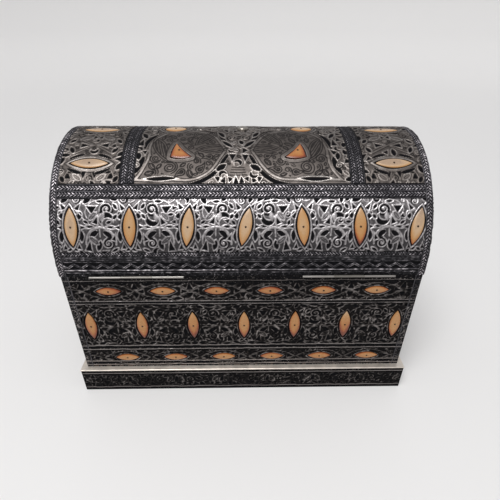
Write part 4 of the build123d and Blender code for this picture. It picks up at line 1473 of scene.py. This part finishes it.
def between(bones):
    """The places between the bones of a row, and beyond its first and last one."""
    return [bone[0] - bone_pitch / 2 for bone in bones] + [bones[-1][0] + bone_pitch / 2]


def wall_canvas(half, rows, phase):
    """The drawing of one wall."""
    top, mid, low = rows
    canvas = Canvas(-half, half, ledge_top, box_top, 0.0, 0.4, 0.5, phase)
    for a in between(top):
        lozenge_field(canvas, a, box_top - top_row_drop)
    for i, a in enumerate(between(mid)):
        tall_field(canvas, a, box_top - mid_row_drop, -1 if i % 2 else 1)
    for a in between(low):
        low_field(canvas, a, box_top - low_row_drop)
    for along, up, kind, angle in top + low:
        rim(canvas, along, up, *kind, angle, 0.95, gap=0.8)
    round_bones(canvas, mid, 0.7)
    fill_gaps(canvas, (6.5, 4.6, 3.2), shine=0.8)
    roughen(canvas)
    stippled(canvas, box_top - 13.0, box_top, grain=2.0, rise=0.45, shine=1.4)
    stippled(canvas, ledge_top, box_top - 174.5, grain=2.0, rise=0.4, shine=1.4)
    worn(canvas, 3.0, 0.5, 1.35)
    for along, up, kind, angle in top + low:
        place, u, v = canvas.near(along, up, 40)
        canvas.raised(place, lens(u, v, kind[0] + 38, kind[1] + 15), 1.0, shine=0.8)
    for drop in wall_bead_drops:
        dark_line(canvas, box_top - drop - 1.6, 1.0)
    for drop in wall_bead_drops:
        wire_line(canvas, box_top - drop, 1.1, shine=0.85 if drop < top_row_drop else 1.15)
    dark_line(canvas, box_top - wall_groove_drop, 1.6)
    stippled(canvas, box_top - 50.2, box_top - 46.6, grain=1.5, rise=0.6)
    return canvas


long_canvas = wall_canvas(box_half, long_wall_bones, 0.4)
end_canvas = wall_canvas(box_half_depth, end_wall_bones, 1.9)
for name, canvas, surface in (("back", long_canvas, back_side), ("front", long_canvas, front_side),
                              ("left", end_canvas, left_side), ("right", end_canvas, right_side)):
    fitted(emboss(f"{name}_wall_embossing", canvas, surface), "chest", [f"{name}_sheet"],
           wall_nickel_tarnish_and_shade)


# %% [markdown]
# The corner strips are bent round the upright edges, so they need their own rule from drawing to
# place: what lies left of the edge goes on the long wall, and the rest goes round on the end wall.

# %% Corner strips
corner_stand = 0.8


def corner_side(sx, sy):
    """The rule of a strip bent round one upright corner of the box."""
    def surface(along, up, height):
        past = np.clip(along, 0.0, None)
        before = np.clip(-along, 0.0, None)
        on_end = along > 0
        x = box_half + corner_stand + np.where(on_end, height, 0.0) - before
        y = box_half_depth + corner_stand + np.where(on_end, 0.0, height) - past
        inner = height < 0
        x = np.where(inner & ~on_end & (along > -1.0), box_half + corner_stand + height, x)
        return np.stack([sx * x, sy * y, up], axis=-1)
    return surface


corners = []
for sx in (-1, 1):
    for sy in (-1, 1):
        canvas = Canvas(-corner_width, corner_width, ledge_top, box_top, -0.2, 0.15, 0.2, sx + sy)
        stippled(canvas, -corner_width + 2.0, corner_width - 2.0, grain=2.0, rise=0.2, upright=True)
        canvas.height -= 0.2
        for at in (-corner_width + 1.0, corner_width - 1.0):
            wire_line(canvas, at, 0.8, rise=0.2, shine=0.6, upright=True)
        corners.append(emboss("corner", canvas, corner_side(sx, sy)))
fitted(joined("corner_strip_embossing", corners), "chest", ["corner_strips"],
       strip_nickel)


# %% [markdown]
# The plinth has the lowest relief: a row of curls and leaves between two border lines. Its faces
# stand a little further out than the walls, so the walls' own rules serve once they are set out.

# %% The plinth
plinth_foot = 0.6
plinth_sheet_top = low_corner("ledge_strips")[2]
plinth_middle = 24.4
plinth_field = 40.0
plinth_wires = (7.6, 41.2)


def plinth_canvas(half, phase):
    """The low relief of one side of the plinth."""
    canvas = Canvas(-half, half, plinth_foot, plinth_sheet_top, 0.0, 0.4, 0.4, phase)
    count = round(2 * half / plinth_field)
    step = 2 * half / count
    for i in range(count):
        field = Field(canvas, -half + step * (i + 0.5), plinth_middle)
        s = 1 if i % 2 else -1
        field.cut(scroll, -6 * s, 1, 8.0, 30 * s, hand=s)
        field.cut(leaf, 10 * s, 2, 17, 7, 60 * s, shine=leaf_shine)
        field.cut(hole_lens, 18 * s, 0, 18, 5, 80)
        field.cut(hole_wedge, 3 * s, 11, 9, 6, 90)
        field.cut(hole_wedge, 4 * s, -11, 9, 6, -90)
        field.cut(hole_lens, 13 * s, -9, 12, 4, 30 * s)
    fill_gaps(canvas, shine=0.8)
    roughen(canvas)
    stippled(canvas, plinth_foot, 9.0, grain=2.0, rise=0.4, shine=1.2)
    worn(canvas, 3.0, 0.4, 1.2)
    for at in plinth_wires:
        dark_line(canvas, at - 2.0, 1.0)
        dark_line(canvas, at + 2.0, 0.8)
        wire_line(canvas, at, 1.1, shine=1.1)
    folded_edges(canvas)
    return canvas


def set_out(surface, step_out):
    """A wall's rule, moved outwards to the plinth's face."""
    def stepped(along, up, height):
        return surface(along, up, height + step_out)
    return stepped


long_step = plinth_half_depth - box_half_depth
end_step = plinth_half - box_half
plinth_sheets = []
for half, phase, surfaces, step_out in (
        (plinth_half, 0.3, (back_side, front_side), long_step),
        (plinth_half_depth, 1.1, (left_side, right_side), end_step)):
    canvas = plinth_canvas(half, phase)
    for surface in surfaces:
        plinth_sheets.append(emboss("plinth_side", canvas, set_out(surface, step_out)))
fitted(joined("plinth_embossing", plinth_sheets), "chest", ["plinth_sheets"],
       wall_nickel_tarnish_and_shade)


# %% [markdown]
# ## The lid's ends
# The half-round ends are drawn like a wall, and the slab's upper edge follows the dome: the same
# share of the height lies lower towards the sides.

# %% The half-round ends
end_wire_in = 9.0


def end_height(along):
    """How high the lid's end stands over the seam at a place across it."""
    inside = np.clip(1.0 - (along / lid_half_depth) ** 2, 0.0, 1.0)
    return lid_foot + rim_height + (dome_rise - sheet_thickness) * np.sqrt(inside)


def end_canvas_of_lid():
    """The drawing of one half-round end."""
    reach = lid_half_depth - sheet_thickness
    canvas = Canvas(-reach, reach, lid_foot, lid_foot + rim_height + dome_rise, 0.0, 0.4, 0.5, 0.9)
    place, along, up = all_of(canvas)
    inner = np.clip(1.0 - (along / (lid_half_depth - end_wire_in)) ** 2, 0.0, 1.0)
    edge = up - (lid_foot + rim_height + (dome_rise - end_wire_in) * np.sqrt(inner))
    slope = np.hypot(1.0, 1.07 * along / lid_half_depth / np.sqrt(np.clip(inner, 0.02, 1.0)))
    band_middle = lid_foot + end_bone_rise - 6
    for s in (-1, 1):
        band_cell(canvas, s * end_bone_spread / 2, band_middle, s, shine=0.85, squeeze=0.86)
    hoop(canvas, place, edge / slope + 6.0, 3.0, shine=0.7)
    for s in (-1, 1):
        band_cell(canvas, s * 112, lid_foot + 40, s, shine=0.85, squeeze=0.75)
        for k in range(3):
            field = Field(canvas, s * (26 + 34 * k), lid_foot + 118 - 16 * k * (k + 1) / 2)
            field.cut(scroll, 0, 0, 9.5, 90 + 60 * s, hand=s)
            field.cut(leaf, -16 * s, 5, 20, 8, -30 * s, shine=leaf_shine)
            field.cut(hole_lens, 12 * s, 10, 20, 6, -35 * s)
            field.cut(hole_wedge, 0, -16, 10, 8, -90)
    hole_wedge(canvas, 0, lid_foot + 135, 20, 14, 90, shine=0.8)
    round_bones(canvas, lid_end_bones, 0.9)
    canvas.raised(place, edge / slope, 1.0, shine=0.8)
    fill_gaps(canvas, shine=0.8)
    roughen(canvas)
    worn(canvas, 3.0, 0.8, 1.6)
    canvas.pierced(place, np.abs(up - lid_foot - 5.5) - 1.0, 0.0)
    wire_line(canvas, lid_foot + 8.0, 1.0)
    wire_line(canvas, lid_foot + 3.0, 1.0)
    return canvas


def right_lid_end(along, up, height):
    """Points of the lid's right end."""
    return np.stack([lid_half + height, along, up], axis=-1)


def left_lid_end(along, up, height):
    """Points of the lid's left end."""
    return np.stack([-lid_half - height, -along, up], axis=-1)


def end_outline(along, share):
    """Where a share of the slab's height lies under the dome."""
    return lid_foot + share * (end_height(along) - lid_foot)


end_drawing = end_canvas_of_lid()
for name, surface in (("left", left_lid_end), ("right", right_lid_end)):
    piece = emboss(f"{name}_lid_end_embossing", end_drawing, surface, outline=end_outline)
    fitted(piece, "lid", [f"lid_{name}_end"], wall_nickel_tarnish_and_shade)


# %% [markdown]
# ## The bones
# Each bone is a slip of camel bone, sawn to an almond or a petal, rounded over and dyed with
# henna, which soaked in deepest along the edges. One blank is modelled: a disc of 48 points is
# extruded into a wall and drawn in ring by ring to a low crown. Every bone is a copy whose rings
# are moved to its own outline and bent to its own side.

# %% A blank and its copies
ring_count = 48
ring_shares = (1.0, 1.0, 0.93, 0.72, 0.4, 0.0)
ring_heights = (-sheet_thickness, bone_stand - 1.0, bone_stand - 0.6, bone_stand - 0.22,
                bone_stand - 0.05, bone_stand)


def bone_blank():
    """A stepped disc: ring k lies at height k."""
    bpy.ops.object.select_all(action="DESELECT")
    bpy.ops.mesh.primitive_circle_add(vertices=ring_count, radius=1.0, fill_type="NGON")
    blank = bpy.context.object
    bpy.ops.object.mode_set(mode="EDIT")
    bpy.ops.mesh.select_all(action="SELECT")
    for before, share in zip(ring_shares[:-2], ring_shares[1:-1]):
        bpy.ops.mesh.extrude_region_move(TRANSFORM_OT_translate={"value": (0, 0, 1)})
        bpy.ops.transform.resize(value=(share / before, share / before, 1))
    bpy.ops.mesh.poke(offset=1.0)
    bpy.ops.mesh.select_all(action="SELECT")
    bpy.ops.mesh.normals_make_consistent(inside=False)
    bpy.ops.object.mode_set(mode="OBJECT")
    return blank


def bone_outline(kind, angle):
    """Points round a bone, in the drawing's own directions."""
    if len(kind) == 3:
        return petal_outline(kind, angle, ring_count)
    half, belly = kind[0] / 2, kind[1] / 2
    radius = (half ** 2 + belly ** 2) / (2 * belly)
    swing = math.asin(half / radius)
    points = []
    for k in range(ring_count):
        side, t = divmod(k, ring_count // 2)
        bend = swing * (1 - 4 * t / ring_count)
        x = radius * math.sin(bend)
        y = radius * math.cos(bend) - radius + belly
        points.append((x, y) if side == 0 else (-x, -y))
    c, s = math.cos(math.radians(angle)), math.sin(math.radians(angle))
    return np.array([(x * c - y * s, x * s + y * c) for x, y in points])


def carve_bones(name, spots, surface, dyes_and_shade=()):
    """All the bones of one group, as one piece; a dye is how deep its colour is and how much darker
    it grows downwards, painted shade as well as dye.
    """
    blank = bone_blank()
    rings = points_of(blank)
    level = np.rint(rings[:, 2]).astype(int)
    level[np.hypot(rings[:, 0], rings[:, 1]) < 0.01] = len(ring_shares) - 1
    step = np.rint(np.arctan2(rings[:, 1], rings[:, 0]) / (2 * math.pi) * ring_count).astype(int)
    copies = []
    for i, (along, up, kind, angle) in enumerate(spots):
        piece = blank.copy()
        piece.data = blank.data.copy()
        bpy.context.scene.collection.objects.link(piece)
        outline = bone_outline(kind, angle)
        middle = outline.mean(axis=0)
        share = np.array(ring_shares)[level]
        flat = middle + share[:, None] * (outline[step % ring_count] - middle)
        height = np.array(ring_heights)[level]
        settle(piece, surface(along + flat[:, 0], up + flat[:, 1], height))
        depth, fall = dyes_and_shade[i] if i < len(dyes_and_shade) else (draw.uniform(0.25, 0.65), 0.15)
        lower = np.clip(-flat[:, 1] / max(kind[:2]) * 2.0, -1, 1)
        side_lean = np.clip(flat[:, 0] / max(kind[:2]) * 2.0, -1, 1) * draw.uniform(-1, 1)
        edge_dye = 0.45 * np.clip(share ** 2 - 0.5, -0.15, 0.5)
        # painted shade: fall darkens each bone towards its lower end, as shade as well as dye
        henna = depth + edge_dye + fall * lower * share ** 2 + 0.08 * side_lean
        store(piece, "henna", np.clip(henna, 0, 1))
        copies.append(piece)
    bpy.data.objects.remove(blank)
    whole = joined(name, copies)
    bpy.ops.object.shade_smooth_by_angle(angle=math.radians(40))
    print(f"{name}: {len(spots)} bones")
    return whole


# %% [markdown]
# Bone is pale, and henna takes it through ochre and orange to a dark red brown. How deep the colour
# sits is stored at each point, noise breaks it up, and a ramp turns it into the colour. The ramp's
# palest end is a dusty grey beige, a painted shade for the dimmer panel bones. Each bone of the
# pictured side has numbers of its own: how deep its colour is, and how much darker it grows
# downwards, which is painted shade as well as dye.

# %% The colour of hennaed bone, with painted shade
bone_finish = Finish("hennaed_bone_and_shade", Specular_IOR_Level=0.5)
henna = bone_finish.stored("henna")
growth = bone_finish.speckle(70.0, detail=5.0)
depth_of_dye_and_shade = bone_finish.clamped(henna + 0.30 * (growth - 0.5))
# painted shade: the stop at 0.0 is a dusty grey beige, darker than the palest bone at 0.12, and it
# stands for the dimmer panel bones
bone_finish.feed("Base Color", bone_finish.ramp(depth_of_dye_and_shade, (
    (0.0, (0.36, 0.25, 0.17)), (0.12, (0.49, 0.335, 0.205)), (0.35, (0.45, 0.25, 0.105)),
    (0.58, (0.41, 0.185, 0.058)), (0.72, (0.34, 0.115, 0.030)), (0.85, (0.26, 0.060, 0.018)),
    (1.0, (0.12, 0.025, 0.011)))))
bone_finish.feed("Roughness", bone_finish.clamped(0.28 + 0.2 * (growth - 0.5)))
bone_finish.feed("Normal", bone_finish.bump(growth, 0.0005, 0.3))

# painted shade: these numbers were fitted to each bone's tone as it was lit, so the downward
# darkening and the panel bones' low, dusty values hold painted shade as well as dye
band_dyes_and_shade = ((0.15, 0.10), (0.37, 0.10), (0.20, 0.15), (0.20, 0.30), (0.34, 0.10), (0.46, 0.45),
             (0.17, 0.45))
panel_dyes_and_shade = ((0.06, 0.75), (0.05, 0.30), (0.2, 0.1), (0.06, 0.70), (0.08, 0.40), (0.2, 0.1))
centre_dyes_and_shade = ((0.70, 0.15), (0.5, 0.1), (0.15, 0.30), (0.68, 0.14), (0.5, 0.1), (0.25, 0.30))
wall_dyes_and_shade = ((0.68, 0.10), (0.54, 0.10), (0.62, 0.08), (0.68, 0.06), (0.60, 0.06), (0.56, 0.05),
             (0.64, 0.40), (0.61, 0.30), (0.66, 0.55), (0.56, 0.35), (0.62, 0.25), (0.68, 0.80),
             (0.52, 0.25), (0.54, 0.05), (0.58, 0.05), (0.52, 0.05), (0.60, 0.06), (0.60, 0.06),
             (0.55, 0.05))


# %% [markdown]
# Each group of bones becomes one piece, which stands in for the plain bones of the frame. The
# bones of the lid's two ends lie on different surfaces, so they are carved apart and then joined.

# %% Carve every group of bones
bone_groups = (
    ("back_band_bones", back_band_bones, band_dyes_and_shade, lid_skin, "lid", "lid_back_bones"),
    ("front_band_bones", front_band_bones, (), lid_skin, "lid", "lid_front_bones"),
    ("panel_bones_carved", panel_bones, panel_dyes_and_shade, lid_skin, "lid", "lid_panel_bones"),
    ("centre_bones_carved", centre_bones, centre_dyes_and_shade, lid_skin, "lid", "lid_centre_bones"),
    ("back_wall_bones", sum(long_wall_bones, []), wall_dyes_and_shade, back_side, "chest", "back_bones"),
    ("front_wall_bones", sum(long_wall_bones, []), (), front_side, "chest", "front_bones"),
    ("left_wall_bones", sum(end_wall_bones, []), (), left_side, "chest", "left_bones"),
    ("right_wall_bones", sum(end_wall_bones, []), (), right_side, "chest", "right_bones"),
)
for name, spots, dyes_and_shade, surface, body, node in bone_groups:
    fitted(carve_bones(name, spots, surface, dyes_and_shade), body, [node], bone_finish.material)
end_pieces = [carve_bones(name, lid_end_bones, surface)
              for name, surface in (("left", left_lid_end), ("right", right_lid_end))]
fitted(joined("lid_end_bones_carved", end_pieces), "lid", ["lid_end_bones"],
       bone_finish.material)


# %% [markdown]
# A small nail holds each bone. Its head is a squashed ball, half sunk into the crown of the bone.

# %% Nails
nail_radius = 1.5
nail_finish = plain_metal("nail_metal", (0.07, 0.045, 0.03), 0.4)


def drive_nails(name, groups, body):
    """One nail head in the middle of each bone of some groups."""
    bpy.ops.object.select_all(action="DESELECT")
    bpy.ops.mesh.primitive_uv_sphere_add(segments=12, ring_count=6, radius=nail_radius)
    head = bpy.context.object
    ball = points_of(head)
    copies = []
    for spots, surface in groups:
        for along, up, kind, angle in spots:
            piece = head.copy()
            piece.data = head.data.copy()
            bpy.context.scene.collection.objects.link(piece)
            lean = 0.0
            if len(kind) == 3:
                lean = 0.4 * kind[2] * (-1 if angle == 180 else 1)
            settle(piece, surface(along + lean + ball[:, 0], up + ball[:, 1],
                                  bone_stand + 0.5 * ball[:, 2]))
            copies.append(piece)
    bpy.data.objects.remove(head)
    whole = joined(name, copies)
    bpy.ops.object.select_all(action="DESELECT")
    whole.select_set(True)
    bpy.ops.object.mode_set(mode="EDIT")
    bpy.ops.mesh.select_all(action="SELECT")
    bpy.ops.mesh.normals_make_consistent(inside=False)
    bpy.ops.object.mode_set(mode="OBJECT")
    bpy.ops.object.shade_smooth()
    whole.data.materials.append(nail_finish)
    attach(whole, body)
    print(f"{name}: {len(copies)} nails")


lid_top_bones = back_band_bones + front_band_bones + panel_bones + centre_bones
long_bones = sum(long_wall_bones, [])
end_bones = sum(end_wall_bones, [])
drive_nails("lid_nails", [(lid_top_bones, lid_skin), (lid_end_bones, left_lid_end),
                          (lid_end_bones, right_lid_end)], "lid")
drive_nails("wall_nails", [(long_bones, back_side), (long_bones, front_side),
                           (end_bones, left_side), (end_bones, right_side)], "chest")


# %% [markdown]
# ## The frame's own pieces
# The wood is plain cedar inside, with the grain along each board. The ledge is rubbed bright by
# use, and the hinges, hasp and handles are thicker metal without ornament.

# %% Cedar
def cedar(name, grain_scale):
    """Reddish wood with its grain drawn out along one direction."""
    finish = Finish(name)
    stretched = finish.node("ShaderNodeMapping", {},
                            {"Vector": finish.place(), "Scale": grain_scale})
    grain = finish.node("ShaderNodeTexNoise", {}, {"Vector": stretched, "Scale": 1.0, "Detail": 6.0,
                                                   "Roughness": 0.65, "Distortion": 0.4})
    finish.feed("Base Color", finish.ramp(grain, (
        (0.25, (0.10, 0.040, 0.018)), (0.5, (0.24, 0.11, 0.05)), (0.8, (0.36, 0.19, 0.10)))))
    finish.feed("Roughness", finish.clamped(0.62 + 0.2 * (grain - 0.5)))
    finish.feed("Normal", finish.bump(grain, 0.0006, 0.4))
    return finish.material


long_cedar = cedar("long_cedar", (6.0, 160.0, 160.0))
cross_cedar = cedar("cross_cedar", (160.0, 6.0, 160.0))
print("wood:", long_cedar.name, cross_cedar.name)


# %% [markdown]
# Every frame piece that still shows gets its finish by what its name says it is. The first word
# that fits decides. The hinges' lid leaves and the right hinge get darker copies of the metal, as
# painted shade. The boards that lie front to back have their grain across.

# %% Finishes of the frame's pieces
wood_across = ("left_board", "right_board", "plinth_left_rail", "plinth_right_rail",
               "lid_left_board", "lid_right_board")
# painted shade: the hinges' lid leaves take the darker knuckle metal, and the right hinge's other
# pieces take the screws' metal, a shade darker than the left hinge's
finish_by_word = (("board", long_cedar), ("rail", long_cedar), ("staves", long_cedar),
                  ("screws", screw_metal), ("pin", screw_metal), ("hinge_lid_leaf", knuckle_metal_painted_shade),
                  ("right_hinge", screw_metal), ("hinge", hinge_metal), ("ledge", ledge_metal),
                  ("", handle_metal))
for name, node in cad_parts.items():
    if node.hide_render:
        continue
    fitting = [finish for word, finish in finish_by_word if word in name]
    node.data.materials.clear()
    node.data.materials.append(cross_cedar if name in wood_across else fitting[0])
    print(name, node.data.materials[0].name)


# %% [markdown]
# ## Stage, light and camera
# A pale floor and soft light from above and behind the onlooker show the relief. The camera stands
# behind the chest, a little above it, and looks down at the hinge side.

# %% Stage
cove_rings = ((3.4, 0.0), (4.0, 0.06), (4.5, 0.35), (4.8, 0.9), (4.9, 2.4))
bpy.ops.object.select_all(action="DESELECT")
bpy.ops.mesh.primitive_circle_add(vertices=96, radius=cove_rings[0][0], fill_type="NGON")
floor = bpy.context.object
floor.name = "floor"
bpy.ops.object.mode_set(mode="EDIT")
for (radius, height), (wider, higher) in zip(cove_rings, cove_rings[1:]):
    bpy.ops.mesh.select_all(action="DESELECT")
    bpy.ops.object.mode_set(mode="OBJECT")
    reach = np.hypot(*points_of(floor)[:, :2].T)
    floor.data.vertices.foreach_set("select", reach > radius - 0.001)
    bpy.ops.object.mode_set(mode="EDIT")
    bpy.ops.mesh.select_mode(type="VERT")
    bpy.ops.mesh.extrude_edges_move(TRANSFORM_OT_translate={"value": (0, 0, higher - height)})
    bpy.ops.transform.resize(value=(wider / radius, wider / radius, 1))
bpy.ops.object.mode_set(mode="OBJECT")
bpy.ops.object.shade_smooth()
floor_finish = Finish("floor_paint", Roughness=0.9, Specular_IOR_Level=0.1)
floor_finish.shader.inputs["Base Color"].default_value = (0.80, 0.79, 0.78, 1.0)
floor.data.materials.append(floor_finish.material)

world = bpy.data.worlds.new("soft_room")
bpy.context.scene.world = world
world.use_nodes = True
room_light = world.node_tree.nodes["Background"]
room_light.inputs["Color"].default_value = (0.92, 0.93, 0.96, 1.0)
room_light.inputs["Strength"].default_value = 0.5


def hang(name, thing, place, gaze, roll=0.0):
    """Hangs a lamp or a camera at a place, so that it looks along a direction."""
    holder = bpy.data.objects.new(name, thing)
    holder.location = place
    holder.rotation_mode = "QUATERNION"
    level = Vector(gaze).to_track_quat("-Z", "Y")
    holder.rotation_quaternion = level @ Quaternion((0, 0, 1), roll)
    bpy.context.scene.collection.objects.link(holder)
    return holder


overhead_place = Vector((0.25, 0.75, 1.6))
overhead = bpy.data.lights.new("overhead", "AREA")
overhead.size = 0.7
overhead.energy = 9.0
hang("overhead", overhead, overhead_place, Vector((0.0, 0.0, 0.2)) - overhead_place)
daylight = bpy.data.lights.new("daylight", "SUN")
daylight.energy = 1.3
daylight.angle = math.radians(35)
hang("daylight", daylight, (0.0, 0.0, 0.0), (-0.2, -0.45, -1.0))


# %% [markdown]
# The camera's place, its tilt and its lens were fitted to the chest's edges. The lens is given as
# a focal length in pixels of a frame 500 pixels wide.

# %% Camera
camera_place = (0.0011, 0.6157, 0.5661)
camera_pitch = math.radians(31.88)
camera_heading = (-0.02276, -0.99974)
camera_roll = math.radians(0.42)
camera_focal_pixels = 390.25
frame_pixels = 500.0
camera = bpy.data.cameras.new("camera")
camera.sensor_width = 36.0
camera.lens = camera.sensor_width * camera_focal_pixels / frame_pixels
camera.shift_y = 0.5 / frame_pixels
level_share = math.cos(camera_pitch)
gaze = (camera_heading[0] * level_share, camera_heading[1] * level_share, -math.sin(camera_pitch))
bpy.context.scene.camera = hang("camera", camera, camera_place, gaze, camera_roll)
bpy.context.scene.view_settings.view_transform = "Standard"
